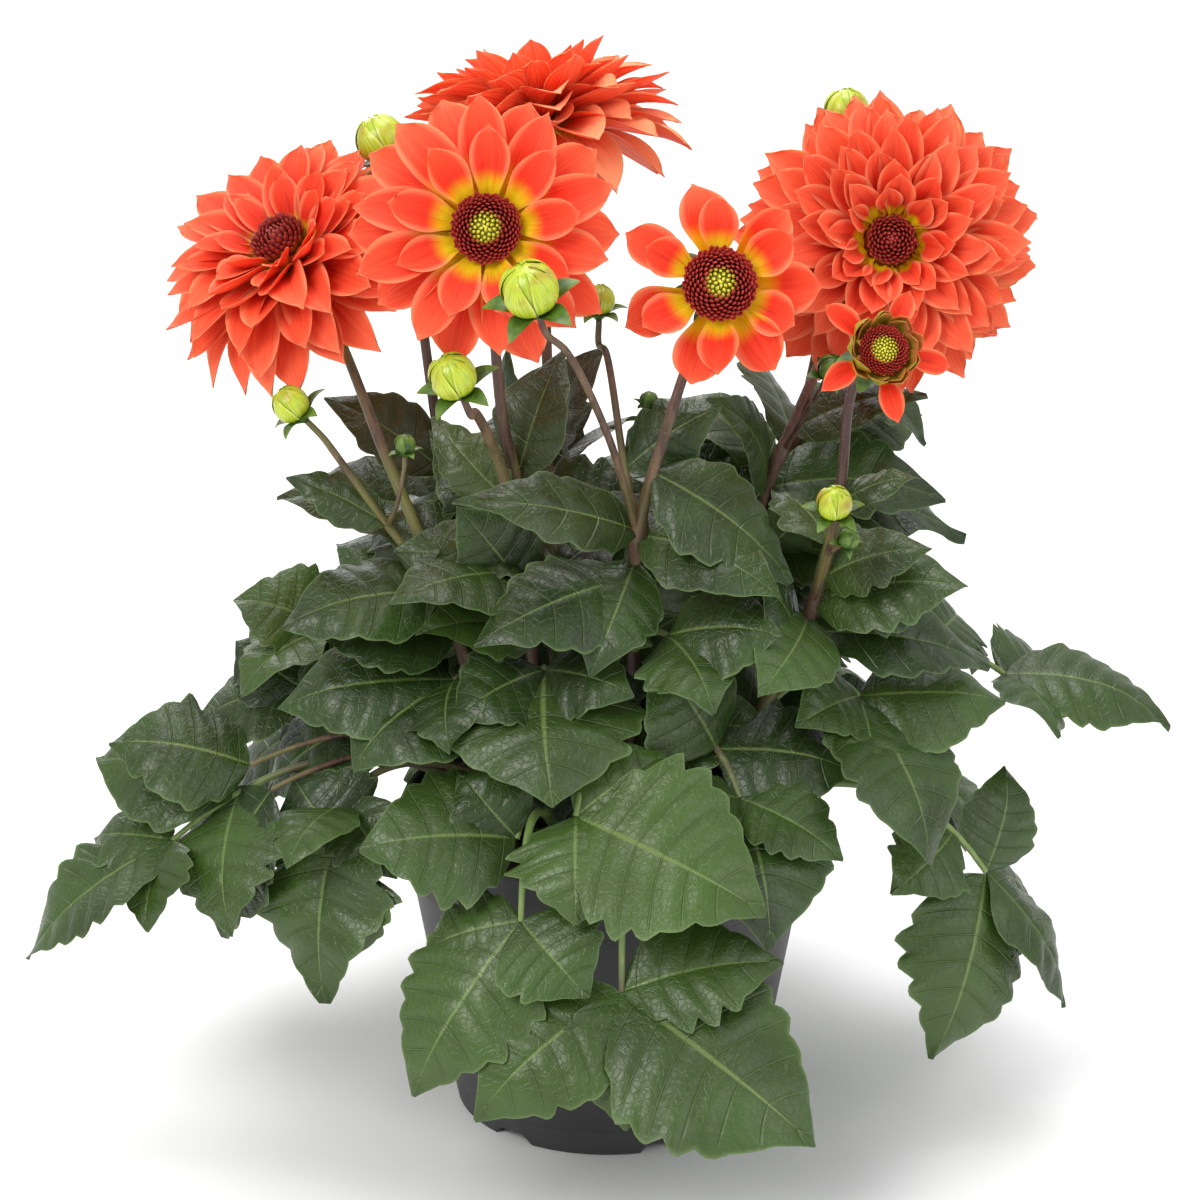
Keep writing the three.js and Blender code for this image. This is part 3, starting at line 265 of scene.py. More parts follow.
LEAVES = {name: leaf_of(*metres(row)) for name, row in {
    "leaf_01": ("stem_06", 141, (6, -120, 210), (6, -132, 113), [
        ((92, -170, 57), 71), ((8, -166, 62), 47), ((-60, -162, 66), 47), ((78, -124, 124), 40)]),
    "leaf_02": ("stem_03", 141, (-36, -108, 214), (-38, -122, 142), [
        ((-88, -146, 68), 52), ((-84, -112, 122), 33), ((-8, -146, 116), 40)]),
    "leaf_03": ("stem_06", 165, (-6, -84, 224), (-14, -104, 184), [
        ((70, -134, 152), 64), ((-14, -142, 150), 47), ((26, -84, 206), 33)]),
    "leaf_04": ("stem_03", 160, (-32, -70, 200), (-40, -92, 168), [
        ((-110, -102, 168), 52), ((-66, -80, 196), 31)]),
    "leaf_05": ("stem_06", 182, (44, -50, 222), (58, -84, 184), [
        ((72, -132, 134), 54), ((104, -104, 164), 35), ((34, -112, 192), 26),
        ((112, -72, 192), 45, (50, -64, 200)), ((20, -66, 244), 47, (50, -64, 200))]),
    "leaf_06": ("stem_06", 238, (18, -56, 256), (26, -66, 254), [
        ((76, -84, 262), 42), ((46, -106, 236), 38)]),
    "leaf_07": ("stem_03", 205, (-28, -52, 238), (-28, -62, 236), [
        ((-24, -118, 194), 64), ((-68, -88, 224), 35), ((10, -92, 238), 33)]),
    "leaf_08": ("stem_01", 200, (-62, -44, 230), (-68, -54, 228), [
        ((-114, -84, 200), 54), ((-70, -98, 214), 35), ((-148, -60, 220), 42)]),
    "leaf_09": ("stem_07", 205, (92, -36, 236), (112, -44, 216), [
        ((146, -96, 158), 54), ((180, -32, 210), 40), ((84, -76, 216), 31), ((118, -88, 186), 31)]),
    "leaf_10": ("stem_09", 190, (120, 30, 246), (182, 22, 200), [
        ((262, 20, 178), 40), ((206, -18, 186), 31), ((204, 64, 190), 35),
        ((166, -12, 216), 31, (150, 24, 220)), ((164, 66, 214), 35, (150, 24, 220))]),
    "leaf_11": ("stem_07", 150, (128, -34, 196), (172, -30, 124), [
        ((148, -68, 46), 54), ((184, -4, 166), 33), ((214, -34, 58), 31),
        ((128, -62, 128), 31, (158, -30, 148)), ((196, 10, 92), 31)]),
    "leaf_12": ("stem_01", 150, (-118, -34, 214), (-196, -44, 146), [
        ((-266, -50, 90), 45), ((-236, -20, 138), 33), ((-208, -76, 116), 33),
        ((-236, -4, 172), 47, (-164, -38, 168)), ((-170, -86, 118), 47, (-164, -38, 168))]),
    "leaf_13": ("stem_01", 165, (-96, -48, 200), (-118, -58, 170), [
        ((-128, -92, 86), 54), ((-142, -98, 158), 35), ((-94, -86, 146), 28)]),
    "leaf_14": ("stem_02", 222, (-100, 0, 252), (-126, -8, 234), [
        ((-170, 2, 246), 38), ((-166, -38, 216), 35), ((-118, -46, 216), 31), ((-144, 34, 236), 35)]),
}.items()}

# Leaves of the sides and back: how far out and how high each tier's parts are, and its spread in degrees
TIERS = {name: dict(metres(sizes), spread=spread) for name, spread, sizes in (
    ("low", 17, {"hub": 148, "hub_z": 140, "reach": 222, "tip_z": 74, "side": 196, "side_z": 96, "rise": 62,
                 "width": 54}),
    ("middle", 20, {"hub": 112, "hub_z": 190, "reach": 180, "tip_z": 140, "side": 152, "side_z": 166,
                    "rise": 34, "width": 52}),
    ("high", 26, {"hub": 84, "hub_z": 236, "reach": 142, "tip_z": 204, "side": 118, "side_z": 224,
                  "rise": 20, "width": 46}))}
RULED = {
    "leaf_15": ("stem_08", 0.15, 28, "low", 0.0),
    "leaf_16": ("stem_09", 0.146, 66, "low", 0.015),
    "leaf_17": ("stem_05", 0.146, 104, "low", 0.0),
    "leaf_18": ("stem_02", 0.146, 142, "low", 0.015),
    "leaf_19": ("stem_02", 0.168, 172, "middle", 0.0),
    "leaf_20": ("stem_09", 0.176, 47, "middle", 0.0),
    "leaf_21": ("stem_05", 0.176, 88, "middle", 0.01),
    "leaf_22": ("stem_02", 0.18, 128, "middle", 0.0),
    "leaf_23": ("stem_09", 0.222, 60, "high", 0.0),
    "leaf_24": ("stem_05", 0.222, 114, "high", 0.006),
}

# Leaves that only the dressed plant has. They close the gaps at the left, each on a stalk of its own.
FILL_LEAVES = metres({
    "stem_01": [((-160, -42, 182), (-225, -36, 191), 46), ((-139, -12, 206), (-189, -4, 187), 40),
                ((-139, -14, 208), (-169, 0, 226), 34), ((-100, -30, 201), (-157, -24, 161), 54),
                ((-150, -56, 176), (-178, -50, 99), 50), ((-117, -70, 156), (-141, -50, 180), 46),
                ((-121, -72, 156), (-120, -78, 98), 54)],
    "stem_02": [((-127, 20, 206), (-165, 26, 233), 40)],
})


def vector(values):
    return np.array(values, float)


def unit(values):
    return vector(values) / np.linalg.norm(values)


def smoothstep(low, high, values):
    share = np.clip((values - low) / (high - low), 0.0, 1.0)
    return share * share * (3 - 2 * share)


def seeded_draw(seed):
    """A repeatable draw between 0 and 1."""
    state = seed * 7919 + 17

    def draw():
        nonlocal state
        state = (state * 1664525 + 1013904223) % 4294967296
        return state / 4294967296

    return draw


# Paths

def smooth_path(points, count):
    """Points on the centripetal curve that runs through the given ones."""
    p = vector(points)
    p = np.vstack([2 * p[0] - p[1], p, 2 * p[-1] - p[-2]])
    found = []
    for share in np.linspace(0, 1, count):
        place = share * (len(p) - 3)
        i = min(int(place), len(p) - 4)
        w = place - i
        p0, p1, p2, p3 = p[i:i + 4]
        d0, d1, d2 = (max(np.linalg.norm(b - a), 1e-9) ** 0.5 for a, b in ((p0, p1), (p1, p2), (p2, p3)))
        leave = ((p1 - p0) / d0 - (p2 - p0) / (d0 + d1) + (p2 - p1) / d1) * d1
        arrive = ((p2 - p1) / d1 - (p3 - p1) / (d1 + d2) + (p3 - p2) / d2) * d1
        found.append(p1 + leave * w + (3 * (p2 - p1) - 2 * leave - arrive) * w**2
                     + (2 * (p1 - p2) + leave + arrive) * w**3)
    return np.array(found)


def stalk_end(name):
    """Where a stalk stops under its bud or bloom, with the straight run up to there."""
    bearer = BUDS.get(name) or BLOOMS[name]
    depth = bearer["radius"] * BUD_FOOT if name in BUDS else bearer["core_radius"] * CALYX_DEPTH
    axis = unit(bearer["axis"])
    return [vector(bearer["at"]) - axis * back for back in (depth + STALK_RUN, depth + STALK_GAP)]


def stalk_path(points, count):
    """A smooth path through points, of which the last may be the name of a bud or bloom."""
    places = []
    for p in points:
        places.extend(stalk_end(p) if isinstance(p, str) else [vector(p)])
    return smooth_path(places, count)


def bent_path(root, bend, hub, count):
    t = np.linspace(0, 1, count)[:, None]
    return (1 - t) ** 2 * vector(root) + 2 * t * (1 - t) * vector(bend) + t**2 * vector(hub)


def nearest(path, target):
    return path[np.argmin(np.linalg.norm(path - vector(target), axis=1))]


def at_height(path, height):
    return path[np.argmax(path[:, 2] >= height)]


def tapered(path, start, end, knots=()):
    """A radius for each point of a path, with a slight swelling at each knot."""
    radii = start + (end - start) * np.linspace(0, 1, len(path))
    for knot in knots:
        near = np.linalg.norm(path - vector(knot), axis=1)
        radii = radii * (1 + 0.35 * np.exp(-(near / 0.006) ** 2))
    return radii


# Mesh parts

def plain_object(name, data):
    thing = bpy.data.objects.new(name, data)
    bpy.context.scene.collection.objects.link(thing)
    return thing


def settle(thing, node):
    """Gives a finished piece to the frame."""
    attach(thing, "root")
    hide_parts(node)
    return thing


class Skin:
    """Collects closed surfaces, with their map places and values, into one mesh."""

    def __init__(self):
        self.parts, self.values, self.count = [], {}, 0

    def add(self, points, quads, tris, uv, rims, **values):
        n = len(points)
        self.parts.append((points, quads + self.count, tris + self.count, uv, rims))
        for name in {**values, **self.values}:
            column = self.values.setdefault(name, [np.zeros(self.count)])
            column.append(np.broadcast_to(values.get(name, 0.0), n))
        self.count += n

    def mesh(self, name, material):
        points, quads, tris, uv, rims = (np.concatenate(column) for column in zip(*self.parts))
        mesh = bpy.data.meshes.new(name)
        mesh.from_pydata(points.tolist(), [], quads.tolist() + tris.tolist())
        mesh.update()
        mesh.shade_smooth()
        corners = np.empty(len(mesh.loops), np.int32)
        mesh.loops.foreach_get("vertex_index", corners)
        mesh.uv_layers.new(name="UVMap").data.foreach_set("uv", uv[corners].astype(np.float32).ravel())
        for label, columns in self.values.items():
            attribute = mesh.attributes.new(label, "FLOAT", "POINT")
            attribute.data.foreach_set("value", np.concatenate(columns).astype(np.float32))
        if rims.any():
            ends = np.empty(len(mesh.edges) * 2, np.int32)
            mesh.edges.foreach_get("vertices", ends)
            sharp = rims[ends.reshape(-1, 2)].all(axis=1)
            mesh.attributes.new("sharp_edge", "BOOLEAN", "EDGE").data.foreach_set("value", sharp)
        mesh.materials.append(material)
        return mesh

    def piece(self, name, material, slot, node):
        return settle(plain_object(name, self.mesh(name, material)), node)


@functools.cache
def sheet_faces(rows, columns):
    """Faces of a closed thin sheet: an upper and an under grid that share their two side edges."""
    upper = np.arange(rows * columns).reshape(rows, columns)
    under = upper.copy()
    under[:, 1:-1] = rows * columns + np.arange(rows * (columns - 2)).reshape(rows, columns - 2)
    quads = []
    for grid, order in ((upper, [0, 1, 2, 3]), (under, [0, 3, 2, 1])):
        corners = np.stack([grid[:-1, :-1], grid[:-1, 1:], grid[1:, 1:], grid[1:, :-1]], -1)
        quads.append(corners.reshape(-1, 4)[:, order])
    tris = []
    for row in (0, rows - 1):
        for c in range(columns - 1):
            corners = [upper[row, c], under[row, c], under[row, c + 1], upper[row, c + 1]]
            kept = list(dict.fromkeys(corners))
            if row:
                kept.reverse()
            (tris if len(kept) == 3 else quads).append(np.array([kept]))
    rims = np.zeros(upper.size + rows * (columns - 2), bool)
    for line in (upper[:, 0], upper[:, -1], upper[0], upper[-1], under[0], under[-1]):
        rims[line] = True
    return np.concatenate(quads), np.concatenate(tris), rims


def add_sheet(skin, upper, under, uv, **values):
    """Adds a closed thin sheet to a skin. Its under side takes its two side edges from the upper one."""
    shape = upper.shape[:2]

    def both(grid, other):
        inner = other[:, 1:-1]
        return np.concatenate([grid.reshape(-1, *grid.shape[2:]), inner.reshape(-1, *grid.shape[2:])])

    side = np.zeros(shape)
    side[:, [0, -1]] = 0.5
    quads, tris, rims = sheet_faces(*shape)
    grids = {name: np.broadcast_to(value, shape) for name, value in values.items()}
    columns = {name: both(grid, grid) for name, grid in grids.items()}
    skin.add(both(upper, under), quads, tris, both(uv, uv), rims, under=both(side, side + 1), **columns)


def add_blade(skin, foot, ahead, aside, lifted, thick, face, uv, rib=0.0, **values):
    """Adds a curved blade. Ahead, aside and lifted each pair a direction with a grid of lengths."""
    centre = foot + sum(direction * grid[..., None] for direction, grid in (ahead, aside, lifted))
    upper = centre + face * (thick * 0.5 - rib * 0.35)[..., None]
    under = centre - face * (thick * 0.5 + rib)[..., None]
    add_sheet(skin, upper, under, np.stack(np.broadcast_arrays(*uv), -1), **values)


def add_turned(skin, profile, origin, axis, segments, **values):
    """Adds a body turned round an axis. Its profile of (radius, height) starts and ends on the axis."""
    z = unit(axis)
    x = unit(np.cross((0.0, 1.0, 0.0) if abs(z[1]) < 0.9 else (1.0, 0.0, 0.0), z))
    y = np.cross(z, x)
    angles = np.linspace(0, 2 * math.pi, segments, endpoint=False)
    spokes = np.outer(np.cos(angles), x) + np.outer(np.sin(angles), y)
    rings = [r * spokes + h * z for r, h in profile[1:-1]]
    points = np.concatenate([[z * profile[0][1]], *rings, [z * profile[-1][1]]]) + vector(origin)
    here = 1 + np.arange(len(rings) * segments).reshape(-1, segments)
    after = np.roll(here, -1, axis=1)
    quads = np.stack([here[:-1], after[:-1], after[1:], here[1:]], -1).reshape(-1, 4)
    pole = np.zeros(segments, int)
    tris = np.concatenate([np.stack([pole, after[0], here[0]], -1),
                           np.stack([pole + len(points) - 1, here[-1], after[-1]], -1)])
    heights = vector(profile)[:, 1]
    share = (heights - heights.min()) / np.ptp(heights)
    up = np.concatenate([share[:1], np.repeat(share[1:-1], segments), share[-1:]])
    turn = np.concatenate([[0.5], np.tile(np.arange(segments) / segments, len(rings)), [0.5]])
    skin.add(points, quads, tris, np.stack([turn, up], -1), np.zeros(len(points), bool), **values)


# Leaves

LEAF_COLUMNS = np.array((0.0, 0.05, 0.14, 0.3, 0.48, 0.66, 0.82, 0.93, 1.0))
TOOTH_ROWS = (0.0, 0.3, 0.54, 0.72)
TOOTH_PEAK = 0.72


def leaf_face(foot, tip):
    """The direction a leaflet faces: up, outwards and a little to the front."""
    middle = (vector(foot) + vector(tip)) / 2
    return unit((middle[0], middle[1] - LEAF_CENTRE_Y, 0)) * 0.8 + UP + FRONT * LEAF_TURN


def leaf_outline(m):
    """Half width of a leaflet, as a share, at a share of its length."""
    shape = np.power(m, 0.8) * np.power(1 - m, 1.1)
    return shape / (0.421**0.8 * 0.579**1.1) * (1 - 0.35 * m**5)


def tooth_line(v, veins, draw):
    """How far a margin swells into its teeth. Each tooth has its own depth."""
    tooth = np.floor(v * veins).astype(int)
    phase = v * veins - tooth
    rising = np.sin(math.pi / 2 * phase / TOOTH_PEAK)
    falling = np.cos(math.pi / 2 * np.clip((phase - TOOTH_PEAK) / (1 - TOOTH_PEAK), 0, 1)) ** 1.6
    bold = 0.12 + 0.28 * draw()
    depths = np.array([0.03 + bold * draw() ** 1.5 for _ in range(veins + 1)])
    depth = depths[tooth] * smoothstep(0.0, 0.2, v) * (0.4 + 0.6 * smoothstep(1.0, 0.7, v))
    return 1 + depth * (np.where(phase <= TOOTH_PEAK, rising, falling) - 0.55)


def add_leaflet(skin, foot, tip, width, face, draw, veins, tone, young=0.0):
    """A toothed leaflet with sunken veins that arch towards its tip."""
    along = vector(tip) - foot
    length = np.linalg.norm(along)
    d = along / length
    n = unit(face - np.dot(face, d) * d)
    x = np.concatenate([-LEAF_COLUMNS[:0:-1], LEAF_COLUMNS])[None, :]
    ax = np.abs(x)
    rows = [0.02] + [(k + p) / veins for k in range(veins) for p in TOOTH_ROWS][1:] + [0.985]
    v = np.array(rows)[:, None]
    tooth = np.where(x < 0, tooth_line(v, veins, draw), tooth_line(v, veins, draw))
    rib_at = v**1.12 * 0.93
    rib_at[-1] = 0.985
    margin_at = v + 0.13 * np.sin(math.pi * v) ** 0.9 * (1 - v)
    t = rib_at + (margin_at - rib_at) * (0.5 * ax + 0.5 * ax**2)
    half = np.maximum(leaf_outline(margin_at), 0.012) * width / 2
    lean = np.where(x < 0, 1 + 0.16 * (draw() - 0.5), 1 + 0.16 * (draw() - 0.5))
    out = half * (1 + (tooth - 1) * ax**1.5) * (x * lean)
    waves = 1.2 + draw() * 1.4
    start = np.where(x < 0, draw() * 6.28, draw() * 6.28)
    ripple = length * (0.014 + 0.028 * draw()) * ax**2 * np.sin(waves * 2 * math.pi * t + start)
    droop = length * (0.03 + 0.1 * draw()) * np.clip(t - 0.55, 0, None) ** 2 * 4
    sway = length * 0.05 * (draw() - 0.5) * np.sin(math.pi * t)
    fold = (0.14 - 0.42 * draw()) * half * ax**1.3 * (1.25 - 0.5 * t)
    swell = np.sin(math.pi * ((v * veins - TOOTH_PEAK) % 1.0)) ** 0.8 * np.sin(math.pi * ax) ** 0.7
    quilt = swell * length * 0.02 * np.sin(math.pi * np.clip(v, 0.04, 0.96))
    twist = (draw() - 0.5) * 0.45 * t
    height = 0.09 * length * 4 * t * (1 - t) - droop + fold + ripple + quilt
    thick = LEAF_THICKNESS * (1 - ax**3) * (0.55 + 0.45 * np.sin(math.pi * v))
    rib = np.exp(-(ax / 0.055) ** 2) * (1.15 - v) * 0.0011
    add_blade(skin, foot, (along, t), (np.cross(d, n), out * np.cos(twist) + sway),
              (n, height + out * np.sin(twist)), thick, n, (x * 0.5 + 0.5, v * veins), rib,
              tone=tone, young=young, along=t)


# Petals and bracts

def add_petal(skin, foot, out, face, side, draw, rank, length, width, sag, cup, throat):
    """A ribbed petal with a rounded point."""
    v = np.linspace(0, 1, 15)[:, None] ** 0.92
    v[-1] = 0.992
    x = np.sin(np.linspace(-1, 1, 13)[None, :] * math.pi / 2 * 0.94) / math.sin(math.pi / 2 * 0.94)
    ax = np.abs(x)
    belly = 0.5 + 0.12 * draw()
    grow = 0.36 + 0.64 * smoothstep(-0.1, 1.0, v / belly)
    past = ((v - belly) / (1 - belly)).clip(0, 1)
    shrink = np.power(np.clip(1 - past ** (2.0 + 0.9 * draw()), 0, 1), 0.6 + 0.24 * draw())
    half = np.maximum(grow * shrink, 0.03) * width / 2
    t = v - 0.05 * ax**2 * v**3
    height = sag * length * 4 * t * (1 - t)
    height = height + (draw() - 0.45) * 0.22 * length * np.clip(t - 0.55, 0, None) ** 2 * 5
    height = height + cup * half * ax**1.8 * (1.35 - 0.7 * t)
    height = height + 0.00026 * np.cos(x * math.pi * 3) * smoothstep(0, 0.2, v) * (1.1 - v)
    height = height - 0.001 * np.exp(-(ax / 0.16) ** 2) * np.sin(math.pi * v)
    height = height + 0.018 * length * ax**2 * np.sin(t * (5 + 3 * draw()) + draw() * 6.28 + x * 1.2)
    notch = 0.02 * length * np.exp(-(ax / 0.12) ** 2) * smoothstep(0.93, 1, v) * draw()
    bend = (draw() - 0.5) * 0.16 * length * t**2
    twist = (draw() - 0.5) * 0.55 * t
    thick = PETAL_THICKNESS * (1 - ax**4) * (1.1 - 0.6 * v)
    add_blade(skin, foot, (out, length * t - notch), (side, half * x * np.cos(twist) + bend),
              (face, height + half * x * np.sin(twist)), thick, face, (x * 0.5 + 0.5, v),
              throat=throat, tone=draw(), rank=rank)


def add_bract(skin, foot, out, face, side, length, width, sag, cup, tone=0.0):
    """A small fleshy pointed leaf behind a bloom or bud."""
    v = np.linspace(0.0, 0.985, 9)[:, None]
    x = np.linspace(-1, 1, 7)[None, :]
    ax = np.abs(x)
    half = np.maximum(np.sin(math.pi * v**0.8) ** 0.7 * 0.95 + 0.28 * (1 - v), 0.05) * width / 2
    height = sag * length * 4 * v * (1 - v) + cup * half * ax**1.6
    thick = BRACT_THICKNESS * (1 - ax**2.5) * (1.1 - 0.6 * v)
    add_blade(skin, foot, (out, length * v), (side, half * x), (face, height), thick, face,
              (x * 0.5 + 0.5, v), tone=tone, along=v)


def axes_of(axis):
    """Side, depth and axis directions of a bloom or bud, turned the shortest way from upright."""
    turn = Vector((0, 0, 1)).rotation_difference(Vector(unit(axis))).to_matrix()
    return np.array(turn.col[0]), np.array(turn.col[1]), unit(axis)


def ring_of(bearer, layer, draw):
    """Foot and directions of each petal or bract in a ring."""
    x, y, z = axes_of(bearer["axis"])
    step = 2 * math.pi / layer["count"]
    for i in range(layer["count"]):
        angle = (i + layer["phase"]) * step
        lean = angle + (draw() - 0.5) * 0.1 * step
        lift = layer["lift"] + (draw() - 0.5) * 0.07
        grown = 0.94 + draw() * 0.12
        e = x * math.cos(lean) + y * math.sin(lean)
        out = e * math.cos(lift) + z * math.sin(lift)
        face = -e * math.sin(lift) + z * math.cos(lift)
        root = (x * math.cos(angle) + y * math.sin(angle)) * layer["root"] + z * layer["height"]
        yield vector(bearer["at"]) + root, out, face, np.cross(out, face), grown


# Blooms and buds

def petal_layers(bloom):
    """The bloom's layers, and for a full bloom one more between each two."""
    layers = [dict(layer, phase=(i % 2) * 0.5 + i * 0.07) for i, layer in enumerate(bloom["layers"])]
    between = []
    if bloom["full"]:
        between = [{key: (a[key] + b[key]) / 2 for key in a} for a, b in zip(layers, layers[1:])]
    for layer in between:
        layer["count"] = round(layer["count"])
        layer["phase"] += 0.3
    return layers + between + bloom["more"]


def bloom_petals(skin, bloom):
    """The bloom's petals in layers on their receptacle, from the outermost in."""
    draw = seeded_draw(bloom["seed"])
    fine = seeded_draw(bloom["seed"] + 50)
    r, h = bloom["core_radius"], bloom["core_height"]
    for layer in petal_layers(bloom):
        rank = smoothstep(-0.4, 1.0, layer["lift"])
        for foot, out, face, side, grown in ring_of(bloom, dict(layer, root=r * 0.9), draw):
            roll = 0.16 + 0.1 * (fine() - 0.5)
            facing = face * math.cos(roll) + side * math.sin(roll)
            tilted = side * math.cos(roll) - face * math.sin(roll)
            add_petal(skin, foot, out, facing, tilted, fine, rank, length=layer["length"] * grown,
                      width=layer["width"] * (1.06 + 0.16 * fine()), sag=layer["sag"] + 0.05 * (fine() - 0.5),
                      cup=0.3 + 0.4 * fine(), throat=bloom["throat"])
    seat = bloom["disc_radius"] * 0.85
    profile = [(0, 0), (r * 0.8, 0), (r, h * 0.25), (seat * 1.08, h * 0.7), (seat, h), (0, h)]
    add_turned(skin, profile, bloom["at"], bloom["axis"], 24, throat=0.6, tone=0.4, rank=1.0)


def bloom_calyx(skin, bloom):
    """The green cup behind a bloom, with its spread bracts."""
    radius = bloom["core_radius"] * 0.8
    depth = bloom["core_radius"] * CALYX_DEPTH
    shares = ((0, 1), (0.42, 1), (0.66, 0.86), (0.84, 0.6), (0.98, 0.3))
    profile = [(radius * r, -depth * h) for r, h in shares] + [(radius * 1.02, -0.0004), (0, -0.0004)]
    add_turned(skin, profile, bloom["at"], bloom["axis"], 24)
    layer = {"count": 6, "lift": -0.35, "root": radius * 0.7, "height": -radius * 0.6, "phase": 0.2}
    for foot, out, face, side, grown in ring_of(bloom, layer, seeded_draw(bloom["seed"] + 1)):
        add_bract(skin, foot, out, face, side, radius * 1.25 * grown, radius * 0.8, -0.05, -0.1)


def bud_scale(skin, bud, turn, half_turn, swell, reach, **values):
    """One scale that hugs a bud's globe from its seat to near its point."""
    x, y, z = axes_of(bud["axis"])
    v = np.linspace(0, 1, 11)[:, None]
    u = np.linspace(-1, 1, 9)[None, :]
    polar = math.pi * (0.94 - reach * v + 0.06 * u**2 * v)
    angle = turn + half_turn * (np.sin(math.pi * np.clip(v * 0.82 + 0.12, 0, 1)) ** 0.6 + 0.02) * u
    shell = swell + 0.02 - 0.035 * u**2 + 0.015 * np.sin(math.pi * v)
    across = x * (np.cos(angle) * np.sin(polar))[..., None] + y * (np.sin(angle) * np.sin(polar))[..., None]
    way = across + z * np.cos(polar)[..., None]
    upper, under = (vector(bud["at"]) + way * (bud["radius"] * (shell + offset))[..., None]
                    for offset in (0.03, -0.02))
    add_sheet(skin, upper, under, np.stack(np.broadcast_arrays(u * 0.5 + 0.5, v), -1), along=v, **values)


def bud_shell(skin, bud):
    """A closed bud: overlapping scales round a globe."""
    wide, high = bud["radius"] * 0.93, bud["radius"] * 0.95
    profile = [(math.sin(a) * wide, -math.cos(a) * high) for a in np.linspace(0, math.pi, 14)]
    add_turned(skin, profile, bud["at"], bud["axis"], 24, tone=0.5, along=0.5)
    for ring, (count, swell, reach) in enumerate(((5, 0.97, 0.86), (4, 1.0, 0.78))):
        for i in range(count):
            turn = (i + 0.5 * ring) * 2 * math.pi / count + 0.3
            bud_scale(skin, bud, turn, 2.35 / count, swell, reach, tone=0.2 + 0.5 * ring)


def bud_foot(skin, bud):
    """The green seat and spread bracts under a bud."""
    radius = bud["radius"]
    shares = ((0, BUD_FOOT), (0.2, BUD_FOOT), (0.36, 1.2), (0.56, 0.98), (0.7, 0.72), (0, 0.5))
    add_turned(skin, [(radius * r, -radius * h) for r, h in shares], bud["at"], bud["axis"], 20)
    layer = {"count": bud["bracts"], "lift": 0.16, "root": radius * 0.36, "height": -radius * 1.1,
             "phase": 0.3}
    for foot, out, face, side, grown in ring_of(bud, layer, seeded_draw(round(radius * 10000))):
        add_bract(skin, foot, out, face, side, radius * 1.55 * grown, radius * 0.78, 0.16, 0.3, tone=0.3)


# Node graphs

def operator(operation, swapped=False):
    """A method that joins a socket with another, or with a number, by one math node."""
    def method(self, other):
        return self.graph.math(operation, *((other, self) if swapped else (self, other)))
    return method


class Term:
    """A socket that can stand in a sum, a difference, a product or a quotient."""
    __add__ = operator("ADD")
    __radd__ = operator("ADD", swapped=True)
    __sub__ = operator("SUBTRACT")
    __rsub__ = operator("SUBTRACT", swapped=True)
    __mul__ = operator("MULTIPLY")
    __rmul__ = operator("MULTIPLY", swapped=True)
    __truediv__ = operator("DIVIDE")
    __rtruediv__ = operator("DIVIDE", swapped=True)

    def __init__(self, graph, socket):
        self.graph, self.socket = graph, socket


